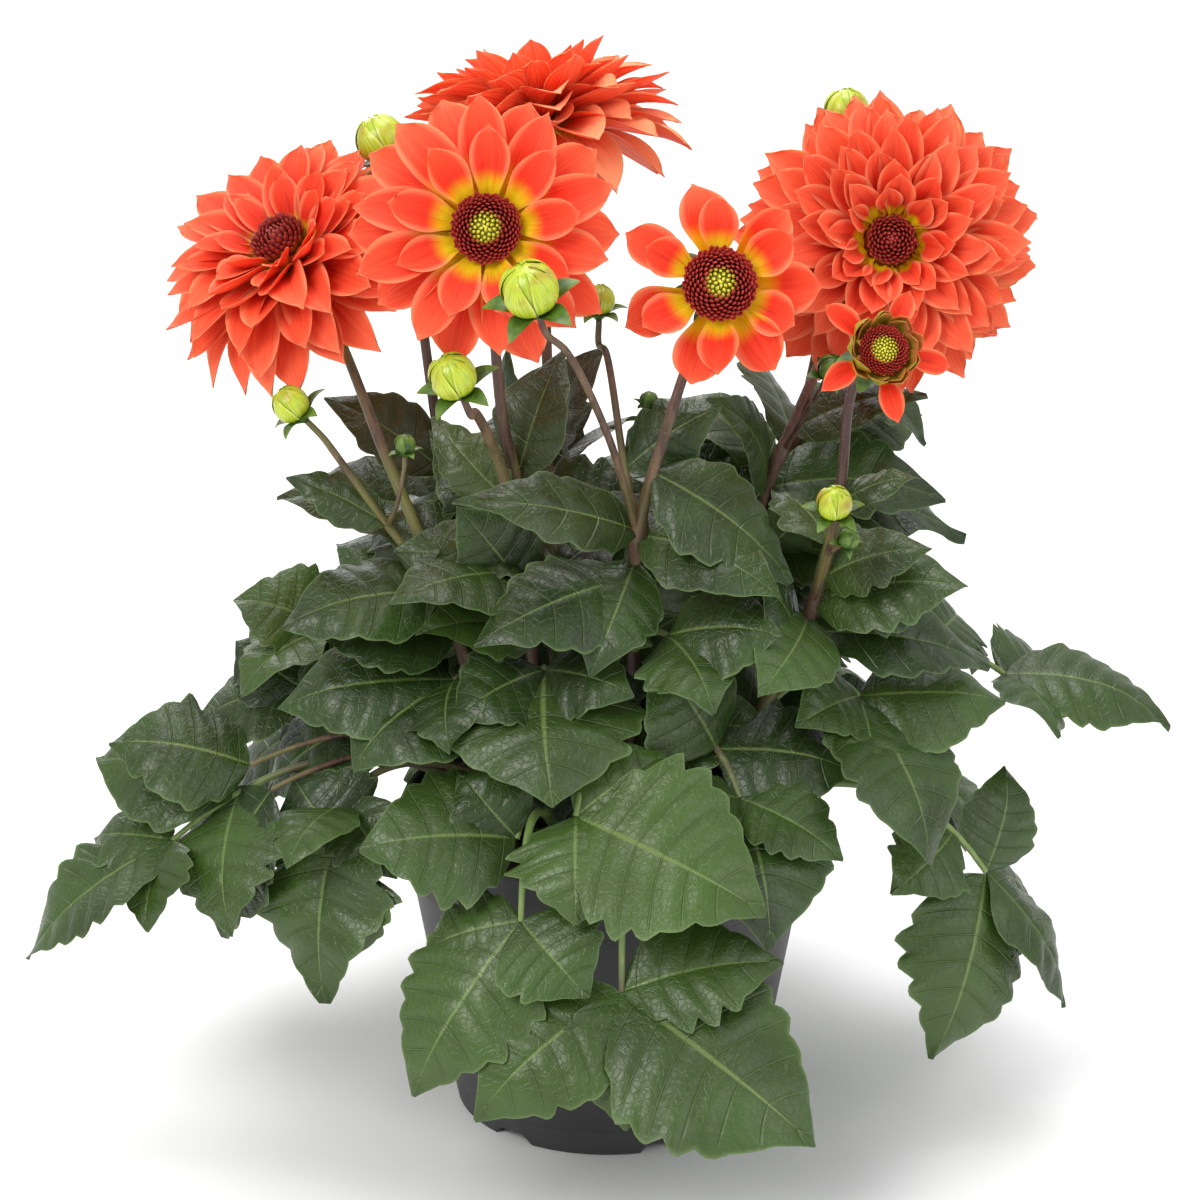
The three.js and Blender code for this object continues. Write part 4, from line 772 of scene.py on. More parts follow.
class Graph:
    """Adds nodes to a shader or geometry tree."""

    def __init__(self, tree):
        self.tree = tree

    def feed(self, socket, value):
        if isinstance(value, Term):
            self.tree.links.new(value.socket, socket)
        else:
            socket.default_value = value

    def node(self, kind, settings=None, **inputs):
        """Adds a node. Its settings come first, because they decide which sockets it shows."""
        made = self.tree.nodes.new(kind)
        for name, value in (settings or {}).items():
            setattr(made, name, value)
        for name, value in inputs.items():
            wanted = name.replace("_", " ").lower()
            self.feed(next(s for s in made.inputs if s.enabled and wanted in (
                s.identifier.lower(), s.name.lower(), s.identifier.lower().replace("_", " "))), value)
        return made

    def out(self, made, name=None):
        found = next(s for s in made.outputs if s.enabled and name in (None, s.name, s.identifier))
        return Term(self, found)

    def math(self, operation, *values, clamp=False):
        made = self.node("ShaderNodeMath", {"operation": operation, "use_clamp": clamp})
        for socket, value in zip(made.inputs, values):
            self.feed(socket, value)
        return self.out(made)

    def clamp(self, value):
        return self.math("ADD", value, 0.0, clamp=True)

    def step(self, value, low, high):
        """0 below low and 1 above high, smooth between. With low above high it falls."""
        return self.out(self.node("ShaderNodeMapRange", {"interpolation_type": "SMOOTHSTEP"}, Value=value,
                                  From_Min=low, From_Max=high, To_Min=0.0, To_Max=1.0))

    def mix(self, factor, a, b):
        return self.out(self.node("ShaderNodeMix", {"data_type": "RGBA"}, Factor_Float=factor, A_Color=a,
                                  B_Color=b), "Result_Color")

    def value(self, name):
        return self.out(self.node("ShaderNodeAttribute", {"attribute_name": name}), "Fac")

    def place(self):
        return self.out(self.node("ShaderNodeTexCoord"), "Object")

    def mapped(self):
        """The two coordinates of the UV map."""
        place = self.out(self.node("ShaderNodeUVMap", {"uv_map": "UVMap"}))
        return self.part(place, "X"), self.part(place, "Y")

    def part(self, triple, letter):
        return self.out(self.node("ShaderNodeSeparateXYZ", Vector=triple), letter)

    def triple(self, x, y, z):
        return self.out(self.node("ShaderNodeCombineXYZ", X=x, Y=y, Z=z))

    def scaled(self, triple, scale):
        made = self.node("ShaderNodeVectorMath", {"operation": "SCALE"}, Vector=triple, Scale=scale)
        return self.out(made)

    def stretched(self, place, scale):
        return self.out(self.node("ShaderNodeMapping", Vector=place, Scale=scale))

    def noise(self, place, scale, detail=2.0, roughness=0.5):
        return self.out(self.node("ShaderNodeTexNoise", Vector=place, Scale=scale, Detail=detail,
                                  Roughness=roughness), "Fac")

    def cells(self, place, scale, feature="DISTANCE_TO_EDGE"):
        return self.out(self.node("ShaderNodeTexVoronoi", {"feature": feature}, Vector=place, Scale=scale),
                        "Distance")

    def bumped(self, height, strength, distance):
        return self.out(self.node("ShaderNodeBump", Height=height, Strength=strength, Distance=distance))

    def marked(self, geometry, name, value):
        """The geometry with a value kept at each point."""
        settings = {"data_type": "FLOAT", "domain": "POINT"}
        return self.out(self.node("GeometryNodeStoreNamedAttribute", settings, Geometry=geometry, Name=name,
                                  Value=value))


def colour(red, green, blue):
    """A screen colour of 0 to 255 as the shader's linear one."""
    shares = [c / 255 for c in (red, green, blue)]
    return (*(c / 12.92 if c <= 0.04045 else ((c + 0.055) / 1.055) ** 2.4 for c in shares), 1.0)


def finish_of(name, paint, *settings):
    """A material whose graph is filled in by paint, which returns the Principled shader's inputs."""
    material = bpy.data.materials.new(name)
    material.use_nodes = True
    graph = Graph(material.node_tree)
    shader = next(n for n in material.node_tree.nodes if n.bl_idname == "ShaderNodeBsdfPrincipled")
    for label, value in paint(graph, *settings).items():
        graph.feed(shader.inputs[label], value)
    return material


# Finishes

def leaf_paint(g, settings):
    across, rows = g.mapped()
    off = g.math("ABSOLUTE", across * 2 - 1)
    gap = g.math("ABSOLUTE", g.math("FRACT", rows) - TOOTH_PEAK)
    under = g.value("under")
    place = g.place()
    rib = 1 - g.step(off, 0.01, 0.042)
    vein = (1 - g.step(gap, 0.008, 0.05)) * g.step(off, 1.0, 0.75)
    # Painted shade: a dark band on either side of each sunken vein.
    vein_shade = (1 - g.step(gap, 0.05, 0.3)) * g.step(off, 1.0, 0.6)
    net = 1 - g.step(g.cells(place, 300.0), 0.01, 0.1)
    cloud = g.noise(place, 28.0, 3.0)
    fine = g.noise(place, 420.0)
    base = g.mix(g.step(cloud, 0.3, 0.7), tuple(settings.leaf_dark), tuple(settings.leaf_mid))
    base = g.mix(g.clamp(g.value("tone") * 0.85), base, colour(80, 108, 40))
    base = g.mix(g.clamp(g.value("young") * 0.75), base, colour(62, 54, 34))
    # Painted shade beside the sunken veins.
    base = g.mix(vein_shade * 0.12, base, colour(24, 40, 14))
    base = g.mix(net * 0.1, base, colour(74, 98, 50))
    base = g.mix(vein * 0.24, base, colour(96, 122, 60))
    base = g.mix(rib * 0.5, base, colour(124, 146, 80))
    base = g.mix(g.step(off, 0.965, 0.99) * 0.36, base, colour(116, 138, 84))
    back = g.mix(g.step(cloud, 0.3, 0.75), colour(72, 98, 50), colour(98, 122, 70))
    back = g.mix(g.clamp(rib + vein * 0.6), back, colour(130, 148, 94))
    height = fine * 0.2 + g.noise(place, 110.0) * 0.8 - net * 0.1 - vein * 0.6
    return {"Base Color": g.mix(under, base, back), "Normal": g.bumped(height, 0.7, 0.0013),
            "Roughness": g.clamp(0.24 + under * 0.34 + fine * 0.22 - g.value("along") * 0.03),
            "Specular IOR Level": 0.46}


def petal_paint(g, settings):
    across, v = g.mapped()
    off = g.math("ABSOLUTE", across * 2 - 1)
    throat, tone, rank = (g.value(name) for name in ("throat", "tone", "rank"))
    lines = g.noise(g.triple(across * 16, v * 0.9, tone * 37), 1.6, 3.0, 0.6)
    husk = g.clamp(g.value("husk") * g.step(rank, 0.75, 0.95))
    base = g.mix(g.step(lines, 0.35, 0.7), tuple(settings.petal_deep), tuple(settings.petal_mid))
    base = g.mix(g.clamp(g.step(v, 0.3, 0.95) * (0.05 + tone * 0.6)), base, colour(246, 92, 44))
    base = g.mix(g.clamp(rank * (1.15 - v) * 0.75 + tone * 0.12), base, colour(220, 16, 2))
    outer = (g.value("pale") * 1.3 + (1 - rank) * 0.22) * (0.12 + 0.88 * v) * (0.34 + lines)
    base = g.mix(g.clamp(outer), base, colour(254, 150, 106))
    rim = g.clamp(g.step(off, 0.62, 1.0) * 0.7 + g.step(v, 0.86, 1.0) * 0.4)
    base = g.mix(rim * (0.3 + lines * 0.9), base, tuple(settings.petal_pale))
    base = g.mix((1 - g.step(off, 0.0, 0.16)) * 0.3 * g.step(v, 0.9, 0.5), base, colour(206, 18, 2))
    yellow = (1 - g.step(v, throat * 0.4, throat * 1.35 + 0.01)) * (1 - off * off * 0.3)
    base = g.mix(g.clamp(yellow * g.step(lines, 0.1, 0.52) * 1.25), base, tuple(settings.petal_throat))
    base = g.mix(husk, base, g.mix(g.step(v, 0.3, 0.9), colour(160, 132, 30), colour(196, 112, 66)))
    back = g.mix(g.step(lines, 0.3, 0.7), colour(228, 66, 34), colour(248, 124, 84))
    back = g.mix(1 - g.step(v, 0.0, 0.35), back, colour(222, 168, 48))
    back = g.mix(husk, back, colour(150, 140, 40))
    height = lines * 0.7 + g.noise(g.place(), 900.0) * 0.12
    return {"Base Color": g.mix(g.value("under"), base, back), "Roughness": g.clamp(0.52 + lines * 0.15),
            "Normal": g.bumped(height, 0.5, 0.0008), "Subsurface Weight": 0.3,
            "Subsurface Radius": (1.0, 0.22, 0.08), "Subsurface Scale": 0.003, "Specular IOR Level": 0.25}


def floret_paint(g):
    tip = g.value("tip")
    grain = g.noise(g.place(), 700.0)
    # Florets run from near-black maroon at their feet to paler red at their tips. The dark feet are partly
    # the florets' own maroon and partly painted shade in the gaps between florets.
    base = g.mix(g.step(tip, 0.15, 0.9), colour(70, 8, 8), colour(190, 66, 56))
    base = g.mix(g.step(grain, 0.45, 0.75) * 0.25, base, colour(150, 36, 30))
    base = g.mix(g.clamp(g.value("dark") * (1 - tip * 0.6)), base, colour(70, 8, 14))
    # The eye florets likewise go from dull yellow at their feet to bright yellow at their tips, partly
    # painted shade in the gaps between them.
    centre = g.mix(g.step(tip, 0.1, 0.9), colour(130, 124, 10), colour(226, 220, 70))
    return {"Base Color": g.mix(g.clamp(g.value("eye")), base, centre), "Roughness": 0.45,
            "Normal": g.bumped(grain, 0.3, 0.0004)}


def stem_paint(g):
    place = g.place()
    streak = g.noise(g.stretched(place, (160.0, 160.0, 14.0)), 1.0, 3.0, 0.6)
    dots = g.step(g.noise(place, 900.0, 1.0), 0.62, 0.75)
    base = g.mix(g.step(streak, 0.35, 0.68), colour(66, 40, 38), colour(112, 86, 66))
    base = g.mix(g.step(g.noise(place, 11.0), 0.48, 0.66) * 0.85, base, colour(104, 106, 48))
    base = g.mix(dots * 0.25, base, colour(150, 140, 112))
    return {"Base Color": base, "Roughness": g.clamp(0.38 + streak * 0.2),
            "Normal": g.bumped(streak + dots * 0.3, 0.35, 0.0005)}


def leaf_stalk_paint(g):
    place = g.place()
    streak = g.noise(g.stretched(place, (260.0, 260.0, 60.0)), 1.0)
    base = g.mix(g.step(g.noise(place, 16.0), 0.4, 0.66), colour(112, 138, 74), colour(96, 84, 62))
    base = g.mix(g.step(streak, 0.5, 0.75) * 0.4, base, colour(150, 166, 104))
    return {"Base Color": base, "Roughness": 0.45, "Normal": g.bumped(streak, 0.3, 0.0004)}


def calyx_paint(g):
    grain = g.noise(g.place(), 240.0, 3.0)
    base = g.mix(g.step(grain, 0.35, 0.7), colour(40, 70, 18), colour(76, 112, 32))
    light = g.step(g.value("along"), 0.55, 1.0) * 0.4 + g.value("tone") * 0.2
    base = g.mix(g.clamp(light), base, colour(126, 154, 54))
    return {"Base Color": base, "Roughness": 0.4, "Normal": g.bumped(grain, 0.3, 0.0005)}


def bud_paint(g, settings):
    across = g.mapped()[0]
    v = g.value("along")
    lines = g.noise(g.triple(across * 14, v * 1.2, g.value("tone") * 23), 1.6, 3.0)
    base = g.mix(g.step(lines, 0.35, 0.7), colour(156, 180, 34), tuple(settings.bud_colour))
    base = g.mix(1 - g.step(v, 0.0, 0.35), base, colour(96, 136, 26))
    flush = g.clamp(g.step(v, 0.3, 0.75) * g.step(g.noise(g.place(), 75.0), 0.5, 0.72))
    base = g.mix(flush * 0.65, base, colour(158, 84, 40))
    base = g.mix(g.step(g.math("ABSOLUTE", across * 2 - 1), 0.8, 1.0) * 0.5, base, colour(214, 222, 122))
    return {"Base Color": base, "Roughness": 0.34, "Coat Weight": 0.25,
            "Normal": g.bumped(lines, 0.25, 0.0004)}


def pot_paint(g, settings):
    place = g.place()
    grain = g.noise(place, 1400.0)
    scuff = g.step(g.noise(g.stretched(place, (60.0, 60.0, 9.0)), 1.0, 4.0, 0.65), 0.55, 0.8)
    dust = g.step(g.noise(place, 22.0, 4.0, 0.6), 0.45, 0.8)
    base = g.mix(scuff * 0.35 + dust * 0.12, tuple(settings.pot_colour), colour(92, 91, 92))
    ring = g.math("SINE", g.part(place, "Z") * 5200)
    return {"Base Color": base, "Roughness": g.clamp(0.5 + grain * 0.14 - scuff * 0.08),
            "Normal": g.bumped(grain * 0.5 + ring * 0.08, 0.4, 0.0003)}


def soil_paint(g):
    place = g.place()
    lump = g.noise(place, 170.0, 4.0, 0.7)
    base = g.mix(g.step(lump, 0.35, 0.7), colour(36, 27, 20), colour(86, 66, 46))
    base = g.mix(g.step(g.cells(place, 420.0, "F1"), 0.22, 0.05) * 0.35, base, colour(128, 104, 76))
    return {"Base Color": base, "Roughness": 0.95, "Normal": g.bumped(lump, 0.8, 0.0018)}


def perlite_paint(g):
    grain = g.noise(g.place(), 800.0, 3.0)
    base = g.mix(g.step(grain, 0.35, 0.7), colour(196, 186, 168), colour(240, 236, 226))
    return {"Base Color": base, "Roughness": 0.85, "Normal": g.bumped(grain, 0.6, 0.0006)}


def floor_paint(g):
    grain = g.noise(g.place(), 9.0, 3.0)
    return {"Base Color": g.mix(grain, (0.83, 0.83, 0.83, 1.0), (0.86, 0.86, 0.86, 1.0)), "Roughness": 0.8,
            "Normal": g.bumped(grain, 0.05, 0.001)}


# Geometry trees

def geometry_tree(name, inputs):
    """A graph with one geometry output. Also its named inputs as terms, and their ids."""
    tree = bpy.data.node_groups.new(name, "GeometryNodeTree")
    tree.interface.new_socket(name="Geometry", in_out="OUTPUT", socket_type="NodeSocketGeometry")
    ids = {}
    for label, kind in {"Geometry": "Geometry", **inputs, "Material": "Material"}.items():
        socket = tree.interface.new_socket(name=label, in_out="INPUT", socket_type="NodeSocket" + kind)
        ids[label] = socket.identifier
    graph = Graph(tree)
    entry = tree.nodes.new("NodeGroupInput")
    return graph, {s.name: Term(graph, s) for s in entry.outputs if s.name}, ids


def finish_tree(graph, geometry, material):
    realized = graph.out(graph.node("GeometryNodeRealizeInstances", Geometry=geometry))
    painted = graph.node("GeometryNodeSetMaterial", Geometry=realized, Material=material)
    leave = graph.tree.nodes.new("NodeGroupOutput")
    graph.tree.links.new(painted.outputs[0], leave.inputs[0])
    return graph.tree


def evaluated_mesh(thing):
    depsgraph = bpy.context.evaluated_depsgraph_get()
    return bpy.data.meshes.new_from_object(thing.evaluated_get(depsgraph), preserve_all_data_layers=True,
                                           depsgraph=depsgraph)


def run_tree(name, data, tree, ids, values):
    """The mesh that a tree makes of a base mesh or curve, with its inputs set."""
    base = plain_object(name, data)
    modifier = base.modifiers.new(tree.name, "NODES")
    modifier.node_group = tree
    for label, value in values.items():
        modifier[ids[label]] = value
    bpy.context.view_layer.update()
    mesh = evaluated_mesh(base)
    bpy.data.objects.remove(base)
    return mesh


@functools.cache
def stalk_tree():
    """Round stalks along every line of a curve object."""
    g, terms, ids = geometry_tree("Stalks along lines", {"Sides": "Int"})
    ring = g.out(g.node("GeometryNodeCurvePrimitiveCircle", Resolution=terms["Sides"], Radius=1.0))
    swept = g.node("GeometryNodeCurveToMesh", Curve=terms["Geometry"], Profile_Curve=ring, Fill_Caps=True,
                   Scale=g.out(g.node("GeometryNodeInputRadius")))
    smooth = g.node("GeometryNodeSetShadeSmooth", Geometry=g.out(swept))
    return finish_tree(g, g.out(smooth), terms["Material"]), ids


def stalk_mesh(lines, sides, material):
    """A mesh of round stalks. Each line is points with a radius at each."""
    curve = bpy.data.curves.new("lines", "CURVE")
    curve.dimensions = "3D"
    for points, radii in lines:
        spline = curve.splines.new("POLY")
        spline.points.add(len(points) - 1)
        spline.points.foreach_set("co", np.c_[points, np.ones(len(points))].ravel())
        spline.points.foreach_set("radius", radii)
    mesh = run_tree("lines", curve, *stalk_tree(), {"Sides": sides, "Material": material})
    bpy.data.curves.remove(curve)
    return mesh


def floret_shape(g):
    """One floret: a plump little cone that keeps how near its tip each point is."""
    cone = g.node("GeometryNodeMeshCone", {"fill_type": "NGON"}, Vertices=6, Side_Segments=3,
                  Radius_Top=0.06, Radius_Bottom=0.5, Depth=1.0)
    here = g.out(g.node("GeometryNodeInputPosition"))
    rise = g.part(here, "Z")
    plump = g.node("GeometryNodeSetPosition", Geometry=g.out(cone, "Mesh"),
                   Position=g.scaled(here, 1 + g.math("SINE", rise * math.pi) * 0.35))
    return g.marked(g.out(plump), "tip", rise)


def floret_tree():
    """Florets stood on a dome in the spiral that sunflowers and daisies share."""
    g, terms, ids = geometry_tree("Florets on a dome", {
        "Count": "Int", "Disc Radius": "Float", "Dome": "Float", "Floret Length": "Float",
        "Floret Width": "Float", "Eye": "Float", "Dark": "Float", "Seed": "Int"})
    index = g.out(g.node("GeometryNodeInputIndex"))
    share = g.math("SQRT", (index + 0.5) / terms["Count"])
    turn = index * FLORET_TURN
    outward, sideways = g.math("COSINE", turn), g.math("SINE", turn)
    slope = share * (math.pi * 0.5)
    upright, level = g.math("COSINE", slope), g.math("SINE", slope)
    flat = level * terms["Disc Radius"]
    spot = g.triple(flat * outward, flat * sideways, upright * terms["Disc Radius"] * terms["Dome"])
    points = g.out(g.node("GeometryNodePoints", Count=terms["Count"], Position=spot))
    points = g.marked(points, "eye", (terms["Eye"] - share) * 9 + 0.5)
    points = g.marked(points, "dark", terms["Dark"])
    stand = 0.85 - share * 0.35
    folded = level * stand - upright * 0.85
    aim = g.triple(outward * folded, sideways * folded, upright * stand + level * 0.85)
    normal = g.triple(outward * level, sideways * level, upright)
    aligned = g.node("FunctionNodeAlignRotationToVector", {"axis": "Z"}, Vector=aim)
    turned = g.node("FunctionNodeAlignRotationToVector", {"axis": "Y", "pivot_axis": "Z"},
                    Rotation=g.out(aligned), Vector=normal)
    varied = g.node("FunctionNodeRandomValue", {"data_type": "FLOAT"}, Min=0.85, Max=1.2,
                    Seed=terms["Seed"])
    eyed = g.step(terms["Eye"] - share, -0.05, 0.05)
    wide = terms["Floret Width"] * (0.75 + share * 0.35)
    tall = terms["Floret Length"] * (0.7 + share * 0.4) * g.out(varied) * (1 - eyed * 0.5)
    size = g.triple(wide * (1 - eyed * 0.25), wide * (0.5 + eyed * 0.25), tall)
    placed = g.node("GeometryNodeInstanceOnPoints", Points=points, Instance=floret_shape(g),
                    Rotation=g.out(turned), Scale=size)
    both = g.node("GeometryNodeJoinGeometry")
    for geometry in (g.out(placed), terms["Geometry"]):
        g.tree.links.new(geometry.socket, both.inputs[0])
    return finish_tree(g, g.out(both), terms["Material"]), ids


def crumb_tree():
    """Crumbs strewn over the upward faces of a surface."""
    g, terms, ids = geometry_tree("Crumbs on a surface", {
        "Density": "Float", "Smallest": "Float", "Largest": "Float", "Seed": "Int"})
    spread = g.node("GeometryNodeDistributePointsOnFaces", Mesh=terms["Geometry"], Density=terms["Density"],
                    Seed=terms["Seed"])
    ball = g.node("GeometryNodeMeshIcoSphere", Radius=1.0, Subdivisions=1)
    large, turn, squash = (
        g.out(g.node("FunctionNodeRandomValue", {"data_type": kind}, Min=low, Max=high, Seed=terms["Seed"]))
        for kind, low, high in (("FLOAT", terms["Smallest"], terms["Largest"]),
                                ("FLOAT_VECTOR", (0.0, 0.0, 0.0), (6.28, 6.28, 6.28)),
                                ("FLOAT_VECTOR", (0.6, 0.6, 0.45), (1.3, 1.3, 1.0))))
    placed = g.node("GeometryNodeInstanceOnPoints", Points=g.out(spread, "Points"),
                    Instance=g.out(ball, "Mesh"), Scale=g.scaled(squash, large),
                    Rotation=g.out(g.node("FunctionNodeEulerToRotation", Euler=turn)))
    return finish_tree(g, g.out(placed), terms["Material"]), ids


# Settings

COLOUR = {"subtype": "COLOR", "size": 4, "min": 0, "max": 1}


class FoliageSettings(bpy.types.PropertyGroup):
    """Colours of the leaves and buds."""
    leaf_dark: bpy.props.FloatVectorProperty(
        name="Dark green", description="Darker patches of the leaves", default=colour(22, 40, 10), **COLOUR)
    leaf_mid: bpy.props.FloatVectorProperty(
        name="Mid green", description="Lighter patches of the leaves", default=colour(48, 72, 26), **COLOUR)
    bud_colour: bpy.props.FloatVectorProperty(
        name="Buds", description="Scales of the closed buds", default=colour(204, 214, 60), **COLOUR)


class FlowerSettings(bpy.types.PropertyGroup):
    """Colours of the petals and how many florets each disc has."""
    petal_deep: bpy.props.FloatVectorProperty(
        name="Deep", description="Streaks of the petals", default=colour(232, 24, 2), **COLOUR)
    petal_mid: bpy.props.FloatVectorProperty(
        name="Mid", description="Main colour of the petals", default=colour(252, 58, 10), **COLOUR)
    petal_pale: bpy.props.FloatVectorProperty(
        name="Pale", description="Edges and tips of the petals", default=colour(252, 156, 112), **COLOUR)
    petal_throat: bpy.props.FloatVectorProperty(
        name="Throat", description="Feet of the petals", default=colour(236, 196, 10), **COLOUR)
    florets: bpy.props.IntProperty(
        name="Florets", description="Florets on each disc", default=250, min=20, max=900)


class PotSettings(bpy.types.PropertyGroup):
    """Sizes and colour of the pot, and how crumbly the soil is."""
    rim_radius: bpy.props.FloatProperty(
        name="Rim radius", description="Outer radius of the rim", unit="LENGTH", default=POT_RIM_RADIUS,
        min=0.02)
    base_radius: bpy.props.FloatProperty(
        name="Base radius", description="Outer radius of the foot", unit="LENGTH", default=POT_BASE_RADIUS,
        min=0.02)
    pot_colour: bpy.props.FloatVectorProperty(
        name="Plastic", description="Colour of the pot", default=colour(56, 55, 57), **COLOUR)
    crumbs: bpy.props.FloatProperty(
        name="Crumbs", description="Crumbs of soil on each square metre", default=150000.0, min=0)
    grains: bpy.props.FloatProperty(
        name="Perlite", description="White grains on each square metre", default=9000.0, min=0)


# Pot and soil

def pot_profile(settings):
    """The pot's section, from the middle of its floor round the wall and back."""
    base, rim, top = settings.base_radius, settings.rim_radius, POT_HEIGHT
    lip, foot, under = top - POT_LIP_DROP, base - POT_FOOT_WIDTH, POT_FLOOR_Z - POT_WALL

    def wall(z, inset=0.0, rise=0.0):
        return (base + z / top * POT_SPREAD - inset, z + rise)

    bottom = [(0.0, under), (0.03, under), (foot - 0.0005, under), (foot, under - 0.0005), (foot, 0.0005),
              (foot + 0.0006, 0.0), (base - 0.0008, 0.0), (base, 0.0008)]
    outside = [wall(0.006), wall(0.012, 0.0004, 0.0001), wall(0.0126, 0.0, 0.0001), wall(0.035), wall(0.06),
               wall(0.0605, 0.0003), wall(0.061), wall(0.09), wall(lip, 0.0004, -0.003),
               wall(lip, 0.0, -0.0022)]
    band = [(rim - 0.0016, lip - 0.0006), (rim - 0.0012, lip), (rim - 0.0007, top - 0.012),
            (rim - 0.0002, top - 0.0034), (rim, top - 0.0016), (rim - 0.0003, top - 0.0005),
            (rim - 0.001, top), (rim - 0.0021, top), (rim - 0.0026, top - 0.0005),
            (rim - 0.0028, top - 0.002)]
    inside = [wall(lip, POT_WALL - 0.0004, -0.0005), wall(lip, POT_WALL, -0.0035), wall(0.06, POT_WALL),
              wall(POT_FLOOR_Z, POT_WALL, 0.001), wall(POT_FLOOR_Z, POT_WALL + 0.001), (0.03, POT_FLOOR_Z),
              (0.0, POT_FLOOR_Z)]
    return bottom + outside + band + inside


def notch_foot(points):
    """Lifts the pot's lowest points where the foot ring has its notches."""
    gap = 360 / POT_NOTCHES
    degrees = np.arange(POT_SEGMENTS) / POT_SEGMENTS * 360
    away = np.abs((degrees + POT_NOTCH_TURN + gap / 2) % gap - gap / 2)
    notch = smoothstep(8.0, 5.4, away) * POT_FOOT_NOTCH
    foot = points[:, 2] < 0.0009
    turn = np.degrees(np.arctan2(points[:, 1], points[:, 0])) % 360 / 360 * POT_SEGMENTS
    points[foot, 2] += notch[np.round(turn[foot]).astype(int) % POT_SEGMENTS]


def drill(thing):
    """Cuts the ring of round drain holes through the pot's floor."""
    skin = Skin()
    profile = [(0, -0.02), (DRAIN_RADIUS, -0.02), (DRAIN_RADIUS, 0.012), (0, 0.012)]
    for angle in np.radians(np.arange(DRAIN_HOLES) * 360 / DRAIN_HOLES - 90):
        place = (DRAIN_RING_RADIUS * math.cos(angle), DRAIN_RING_RADIUS * math.sin(angle), 0)
        add_turned(skin, profile, place, UP, 20)
    cutter = plain_object("drill", skin.mesh("drill", thing.data.materials[0]))
    cut = thing.modifiers.new("holes", "BOOLEAN")
    cut.operation, cut.solver, cut.object = "DIFFERENCE", "EXACT", cutter
    mesh = evaluated_mesh(thing)
    thing.modifiers.clear()
    thing.data = mesh
    bpy.data.objects.remove(cutter)
    mesh.shade_smooth()
    mesh.set_sharp_from_angle(angle=math.radians(32))


class DAHLIA_OT_pot(bpy.types.Operator):
    """Turns the nursery pot with its lip, notched foot and drain holes"""
    bl_idname = "dahlia.pot"
    bl_label = "Pot"

    def execute(self, context):
        settings = context.scene.dahlia_pot
        skin = Skin()
        add_turned(skin, pot_profile(settings), (0, 0, 0), UP, POT_SEGMENTS)
        notch_foot(skin.parts[0][0])
        plastic = finish_of("matte_black_plastic", pot_paint, settings)
        drill(skin.piece("nursery_pot", plastic, "pot", "pot"))
        return {"FINISHED"}


def soil_surface():
    """The soil's body, with its top heaped a little."""
    draw = seeded_draw(11)
    heaps = [(draw() * 0.16 - 0.08, draw() * 0.16 - 0.08, 0.006 + draw() * 0.016, draw() * 0.0045 - 0.0018)
             for _ in range(SOIL_HEAPS)]
    inner = POT_BASE_RADIUS - POT_WALL - 0.0012
    floor = POT_FLOOR_Z + 0.0006
    profile = [(0, floor), (inner, floor), (inner + 0.0185, 0.105), (SOIL_RADIUS, 0.1175)]
    for s in (0.985, 0.93, 0.86, 0.79, 0.72, 0.65, 0.58, 0.51, 0.44, 0.37, 0.3, 0.22, 0.14, 0.06, 0.0):
        profile.append((SOIL_RADIUS * s, SOIL_TOP - 0.0045 * s**4))
    skin = Skin()
    add_turned(skin, profile, (0, 0, 0), UP, 72)
    points = skin.parts[0][0]
    top = points[:, 2] > SOIL_EDGE_Z
    for x, y, spread, rise in heaps:
        away = (points[:, 0] - x) ** 2 + (points[:, 1] - y) ** 2
        points[top, 2] += rise * np.exp(-away[top] / spread**2)
    return skin


def top_faces(mesh):
    """A mesh of only the faces on top."""
    points = [tuple(v.co) for v in mesh.vertices]
    faces = [tuple(p.vertices) for p in mesh.polygons if all(points[i][2] > SOIL_EDGE_Z for i in p.vertices)]
    top = bpy.data.meshes.new("soil_top")
    top.from_pydata(points, [], faces)
    return top


class DAHLIA_OT_soil(bpy.types.Operator):
    """Heaps the potting soil and strews it with crumbs and perlite"""
    bl_idname = "dahlia.soil"
    bl_label = "Soil"

    def execute(self, context):
        settings = context.scene.dahlia_pot
        peat = finish_of("peat", soil_paint)
        white = finish_of("perlite", perlite_paint)
        soil = soil_surface().piece("potting_soil", peat, "soil", "soil")
        tree, ids = crumb_tree()
        for name, seed, density, (low, high), finish in (
                ("soil_crumbs", 3, settings.crumbs, CRUMB_SIZES, peat),
                ("perlite_grains", 8, settings.grains, GRAIN_SIZES, white)):
            mesh = run_tree("strewn", top_faces(soil.data), tree, ids, {
                "Density": density, "Smallest": low, "Largest": high, "Seed": seed, "Material": finish})
            settle(plain_object(name, mesh), "soil")
        return {"FINISHED"}


# Stems and leaves

def shoot_lines(shoot, fill):
    """The main line, branches, bud stalks and stalks of added leaves of a shoot."""
    branches = shoot.get("branches", [])
    main = stalk_path(shoot["main"], 60)
    lines = [(main, tapered(main, STEM_RADIUS, STEM_RADIUS * 0.45, [branch[0] for branch in branches]))]
    for branch in branches:
        path = stalk_path(branch, 36)
        radius = BRANCH_RADIUS if len(branch) > 3 else STALK_RADIUS
        lines.append((path, tapered(path, radius * 0.8, radius * 0.6)))
    for foot, tip, _ in shoot.get("tips", []):
        path = np.linspace(nearest(np.concatenate([line for line, _ in lines]), foot), vector(tip), 8)
        lines.append((path, tapered(path, STALK_RADIUS * 0.75, STALK_RADIUS * 0.7)))
    for foot, _, _ in fill:
        root = nearest(main, vector(foot) - 0.02 * UP)
        path = bent_path(root, (root + vector(foot)) / 2 + 0.02 * UP, foot, 20)
        lines.append((path, tapered(path, PETIOLE_RADIUS * 0.9, PETIOLE_RADIUS * 0.6)))
    return lines


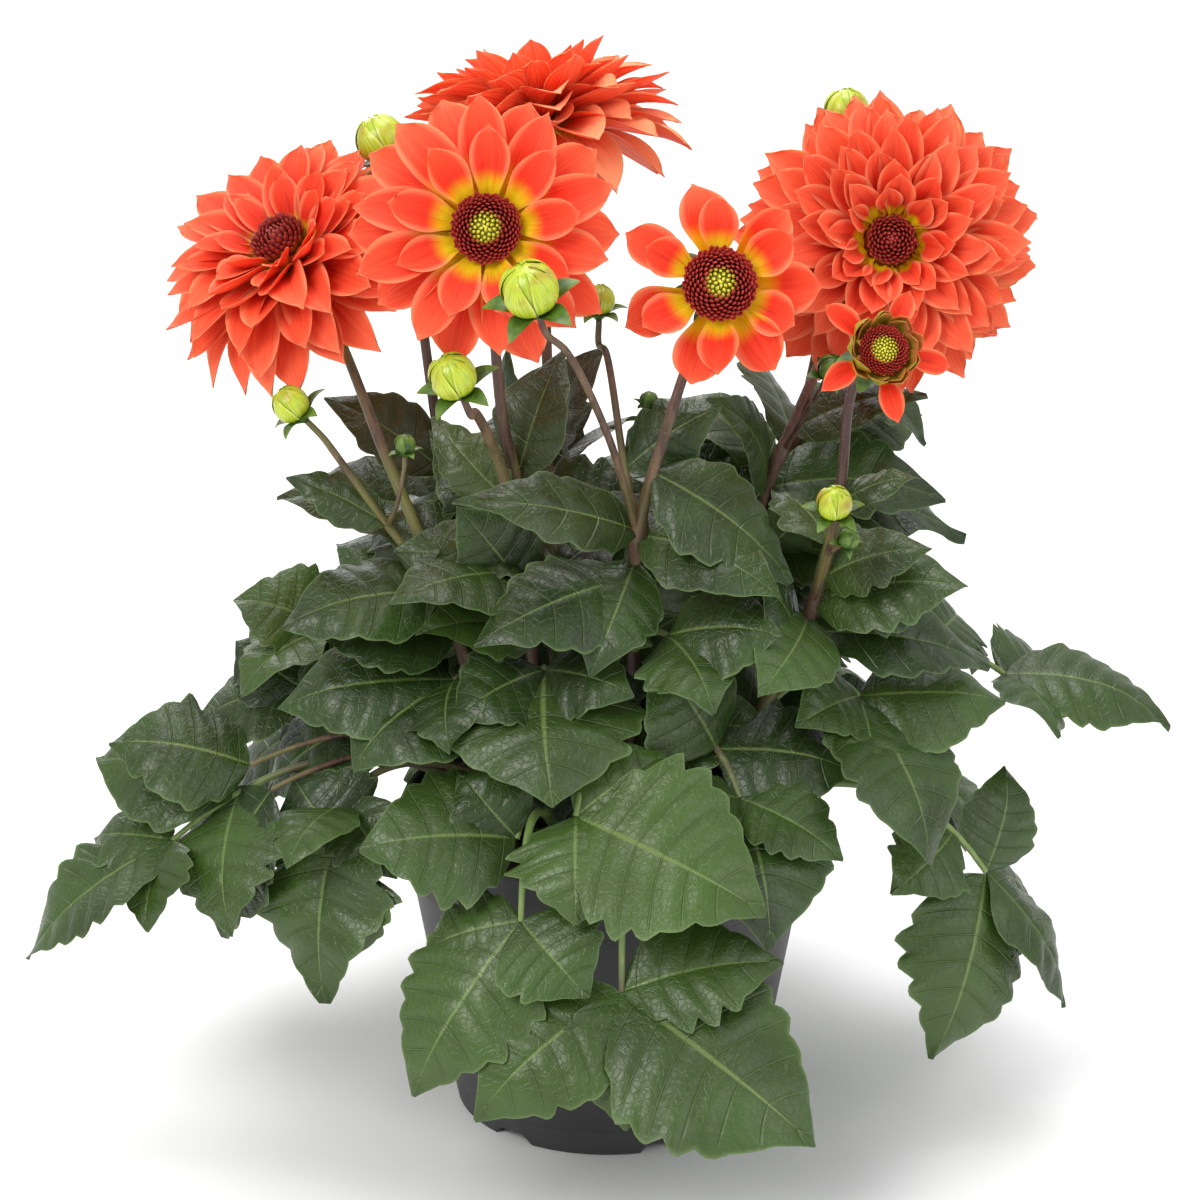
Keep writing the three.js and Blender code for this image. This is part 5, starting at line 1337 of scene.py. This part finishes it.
def inner_leaves(path, number, draw):
    """Leaves up a shoot that fill the crown, each a golden angle on from the one below."""
    found = []
    for k in range(INNER_LEAVES):
        foot = at_height(path, INNER_LEAF_Z + INNER_LEAF_STEP * k)
        turn = number * 0.7 + k * GOLDEN_ANGLE
        reach = INNER_LEAF_REACH - 0.003 * k + 0.014 * draw()
        tip = foot + vector((math.cos(turn) * reach, math.sin(turn) * reach * 0.9, 0.004 + 0.016 * draw()))
        if tip[1] > -0.066:
            found.append((foot, tip, reach * (0.56 + 0.1 * draw())))
    return found


class DAHLIA_OT_stems(bpy.types.Operator):
    """Grows the flower stems with their branches, young leaves and smallest buds"""
    bl_idname = "dahlia.stems"
    bl_label = "Stems"

    def execute(self, context):
        bark = finish_of("flushed_stem", stem_paint)
        green = finish_of("stem_leaf", leaf_paint, context.scene.dahlia_foliage)
        husk = finish_of("young_bud", calyx_paint)
        for number, (node, shoot) in enumerate(SHOOTS.items()):
            fill = FILL_LEAVES.get(node, [])
            lines = shoot_lines(shoot, fill)
            settle(plain_object("stalks_" + node[-2:], stalk_mesh(lines, 14, bark)), node)
            seats = np.concatenate([line for line, _ in lines])
            draw = seeded_draw(200 + number)
            skin = Skin()
            for foot, tip, width in shoot["leaves"] + fill + inner_leaves(lines[0][0], number, draw):
                high = smoothstep(0.27, 0.34, vector(tip)[2])
                face = leaf_face(foot, tip)
                add_leaflet(skin, nearest(seats, foot), tip, width * YOUNG_SWELL, face, draw,
                            veins=6 if width > 0.03 else 5, tone=0.7 * draw() ** 3, young=high * draw())
            skin.piece("young_leaves_" + node[-2:], green, "leaf", node)
            if "tips" in shoot:
                skin = Skin()
                for foot, tip, width in shoot["tips"]:
                    bud = {"at": tip, "radius": width / 2, "axis": vector(tip) - vector(foot), "bracts": 4}
                    bud_shell(skin, bud)
                    bud_foot(skin, bud)
                skin.piece("small_buds_" + node[-2:], husk, "calyx", node)
        return {"FINISHED"}


def ruled_leaf(on, height, degrees, tier_name, up):
    """A leaf of the sides and back, laid out from its tier."""
    tier = TIERS[tier_name]
    out, high, rise, width = (tier[key] for key in ("hub", "hub_z", "rise", "width"))

    def at(turn, radius, z):
        angle = math.radians(degrees + turn)
        return (math.cos(angle) * radius, math.sin(angle) * radius * DEPTH_SHARE, z + up)

    leaflets = [(at(0, out, high), at(0, tier["reach"], tier["tip_z"]), width)]
    for hand in (-1, 1):
        foot = at(0, out * 0.9, high + rise * 0.2)
        leaflets.append((foot, at(hand * tier["spread"], tier["side"], tier["side_z"]), width * 0.78))
        if tier_name == "low":
            foot = at(0, out * 0.72, high + rise * 0.5)
            leaflets.append((foot, at(hand * (tier["spread"] + 4), out * 0.98, high + 0.004), width * 0.5))
    return {"on": on, "height": height, "bend": at(0, out * 0.78, high + rise), "hub": at(0, out, high),
            "leaflets": leaflets}


class DAHLIA_OT_leaves(bpy.types.Operator):
    """Lays the compound leaves, each with its stalk and toothed leaflets"""
    bl_idname = "dahlia.leaves"
    bl_label = "Leaves"

    def execute(self, context):
        green = finish_of("leaf", leaf_paint, context.scene.dahlia_foliage)
        stalk = finish_of("leaf_stalk", leaf_stalk_paint)
        leaves = {**LEAVES, **{name: ruled_leaf(*row) for name, row in RULED.items()}}
        for number, (node, leaf) in enumerate(leaves.items()):
            root = at_height(stalk_path(SHOOTS[leaf["on"]]["main"], 240), leaf["height"])
            path = bent_path(root, leaf["bend"], leaf["hub"], 32)
            radii = tapered(path, PETIOLE_RADIUS * 1.35, PETIOLE_RADIUS * 0.7)
            settle(plain_object("stalk_of_" + node, stalk_mesh([(path, radii)], 12, stalk)), node)
            draw = seeded_draw(400 + number)
            skin = Skin()
            shade = 0.42 * draw() ** 2
            for foot, tip, width in leaf["leaflets"]:
                length = np.linalg.norm(vector(tip) - vector(foot))
                add_leaflet(skin, nearest(path, foot), tip, width * LEAF_SWELL, leaf_face(foot, tip), draw,
                            veins=7 if length > 0.08 else 6, tone=shade + draw() * 0.32)
            skin.piece("blades_of_" + node, green, "leaf", node)
        return {"FINISHED"}


# Blooms and buds of the plant

def floret_mesh(bloom, tree, ids, florets, finish):
    """The disc of a bloom: its dome with florets all over. A closed disc has fewer and larger ones."""
    radius, eye, closed = bloom["disc_radius"], bloom["eye"], bloom["eye"] < 0
    slopes = np.linspace(math.pi * 0.5, 0, 9)
    core = radius * 0.86
    profile = [(math.sin(a) * core, math.cos(a) * core * bloom["dome"]) for a in slopes]
    lit = np.clip((eye - slopes / (math.pi * 0.5)) * 9 + 0.5, 0, 1)
    lit = np.concatenate([[0.0], np.repeat(lit[:-1], DISC_SEGMENTS), lit[-1:]])
    skin = Skin()
    # The dome under the florets takes their darkest foot colour, which is partly painted shade in the gaps
    # between florets.
    add_turned(skin, [(0, 0.0004), *profile], (0, 0, 0), UP, DISC_SEGMENTS, tip=-0.5, eye=lit,
               dark=bloom["dark"])
    mesh = run_tree("core", skin.mesh("core", finish), tree, ids, {
        "Count": florets // 2 if closed else florets, "Disc Radius": radius * 0.88, "Dome": bloom["dome"],
        "Floret Length": radius * (0.56 if closed else 0.4),
        "Floret Width": radius * (0.32 if closed else 0.21),
        "Eye": eye, "Dark": bloom["dark"], "Seed": bloom["seed"], "Material": finish})
    axis = unit(bloom["axis"])
    turn = Vector((0, 0, 1)).rotation_difference(Vector(axis)).to_matrix().to_4x4()
    turn.translation = Vector(vector(bloom["at"]) + axis * (bloom["core_height"] + 0.0002))
    mesh.transform(turn)
    return mesh


class DAHLIA_OT_blooms(bpy.types.Operator):
    """Opens the blooms: petals in layers, the disc of florets and the calyx"""
    bl_idname = "dahlia.blooms"
    bl_label = "Blooms"

    def execute(self, context):
        settings = context.scene.dahlia_flowers
        orange = finish_of("petal", petal_paint, settings)
        maroon = finish_of("florets", floret_paint)
        green = finish_of("calyx", calyx_paint)
        tree, ids = floret_tree()
        for name, bloom in BLOOMS.items():
            skin = Skin()
            bloom_petals(skin, bloom)
            for look in ("pale", "husk"):
                skin.values[look] = [np.full(skin.count, bloom[look])]
            skin.piece("petals_of_" + name, orange, "petal", name + "_petals")
            skin = Skin()
            bloom_calyx(skin, bloom)
            skin.piece("calyx_of_" + name, green, "calyx", name + "_calyx")
            mesh = floret_mesh(bloom, tree, ids, settings.florets, maroon)
            settle(plain_object("florets_of_" + name, mesh), name + "_disc")
        return {"FINISHED"}


class DAHLIA_OT_buds(bpy.types.Operator):
    """Sets the closed buds on their stars of bracts"""
    bl_idname = "dahlia.buds"
    bl_label = "Buds"

    def execute(self, context):
        lime = finish_of("bud_scales", bud_paint, context.scene.dahlia_foliage)
        green = finish_of("bud_bracts", calyx_paint)
        for name, bud in BUDS.items():
            for part, build, finish in (("scales_of_", bud_shell, lime), ("bracts_of_", bud_foot, green)):
                skin = Skin()
                build(skin, bud)
                skin.piece(part + name, finish, "bud", name)
        return {"FINISHED"}


# Stage and panel

def add_light(name, place, size, power, tint=(1.0, 1.0, 1.0)):
    """A square light that looks at the middle of the plant."""
    data = bpy.data.lights.new(name, "AREA")
    data.shape, data.size, data.energy, data.color = "SQUARE", size, power, tint
    lamp = plain_object(name, data)
    lamp.location = place
    lamp.rotation_euler = (Vector((0.0, 0.0, 0.25)) - Vector(place)).to_track_quat("-Z", "Y").to_euler()


class DAHLIA_OT_stage(bpy.types.Operator):
    """Sets the pale floor, the soft lights and the camera"""
    bl_idname = "dahlia.stage"
    bl_label = "Stage"

    def execute(self, context):
        scene = context.scene
        mesh = bpy.data.meshes.new("floor")
        corners = [(-9.0, -9.0, 0), (9.0, -9.0, 0), (9.0, 9.0, 0), (-9.0, 9.0, 0)]
        mesh.from_pydata(corners, [], [(0, 1, 2, 3)])
        mesh.materials.append(finish_of("pale_floor", floor_paint))
        plain_object("floor", mesh)
        add_light("key", (-1.5, -1.9, 2.3), 1.5, 50.0, (1.0, 0.985, 0.96))
        add_light("fill", (1.9, -1.5, 1.3), 1.8, 16.0, (0.97, 0.985, 1.0))
        add_light("top", (0.1, 0.5, 2.6), 1.6, 40.0)
        add_light("back", (-0.6, 2.1, 1.4), 1.4, 18.0)
        scene.world = bpy.data.worlds.new("studio")
        scene.world.use_nodes = True
        sky = scene.world.node_tree.nodes["Background"].inputs
        sky["Color"].default_value = (1.0, 1.0, 1.0, 1.0)
        sky["Strength"].default_value = 0.7
        scene.view_settings.view_transform = "Standard"
        data = bpy.data.cameras.new("camera")
        data.lens, data.sensor_width = CAMERA_LENS, CAMERA_SENSOR
        data.clip_start, data.clip_end = 0.05, 50.0
        scene.camera = plain_object("camera", data)
        scene.camera.location = CAMERA_PLACE
        scene.camera.rotation_euler = (math.pi / 2 - CAMERA_PITCH, 0.0, 0.0)
        return {"FINISHED"}


class DAHLIA_PT_panel(bpy.types.Panel):
    """Lists the steps of the dahlia and their settings"""
    bl_idname = "DAHLIA_PT_panel"
    bl_label = "Potted Dahlia"
    bl_space_type = "VIEW_3D"
    bl_region_type = "UI"
    bl_category = "Dahlia"

    def draw(self, context):
        for group in SETTINGS:
            settings = getattr(context.scene, group)
            box = self.layout.box()
            for name in settings.__annotations__:
                box.prop(settings, name)
        for step in STEPS:
            self.layout.operator(step.bl_idname)


STEPS = (DAHLIA_OT_stage, DAHLIA_OT_pot, DAHLIA_OT_soil, DAHLIA_OT_stems, DAHLIA_OT_leaves,
         DAHLIA_OT_blooms, DAHLIA_OT_buds)
SETTINGS = {"dahlia_pot": PotSettings, "dahlia_flowers": FlowerSettings, "dahlia_foliage": FoliageSettings}
CLASSES = (*SETTINGS.values(), *STEPS, DAHLIA_PT_panel)


def register():
    for cls in CLASSES:
        bpy.utils.register_class(cls)
    for group, cls in SETTINGS.items():
        setattr(bpy.types.Scene, group, bpy.props.PointerProperty(type=cls))


def unregister():
    for group in SETTINGS:
        delattr(bpy.types.Scene, group)
    for cls in reversed(CLASSES):
        bpy.utils.unregister_class(cls)


def main():
    register()
    for step in STEPS:
        family, name = step.bl_idname.split(".")
        getattr(getattr(bpy.ops, family), name)()
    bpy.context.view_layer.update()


if __name__ == "__main__":
    main()
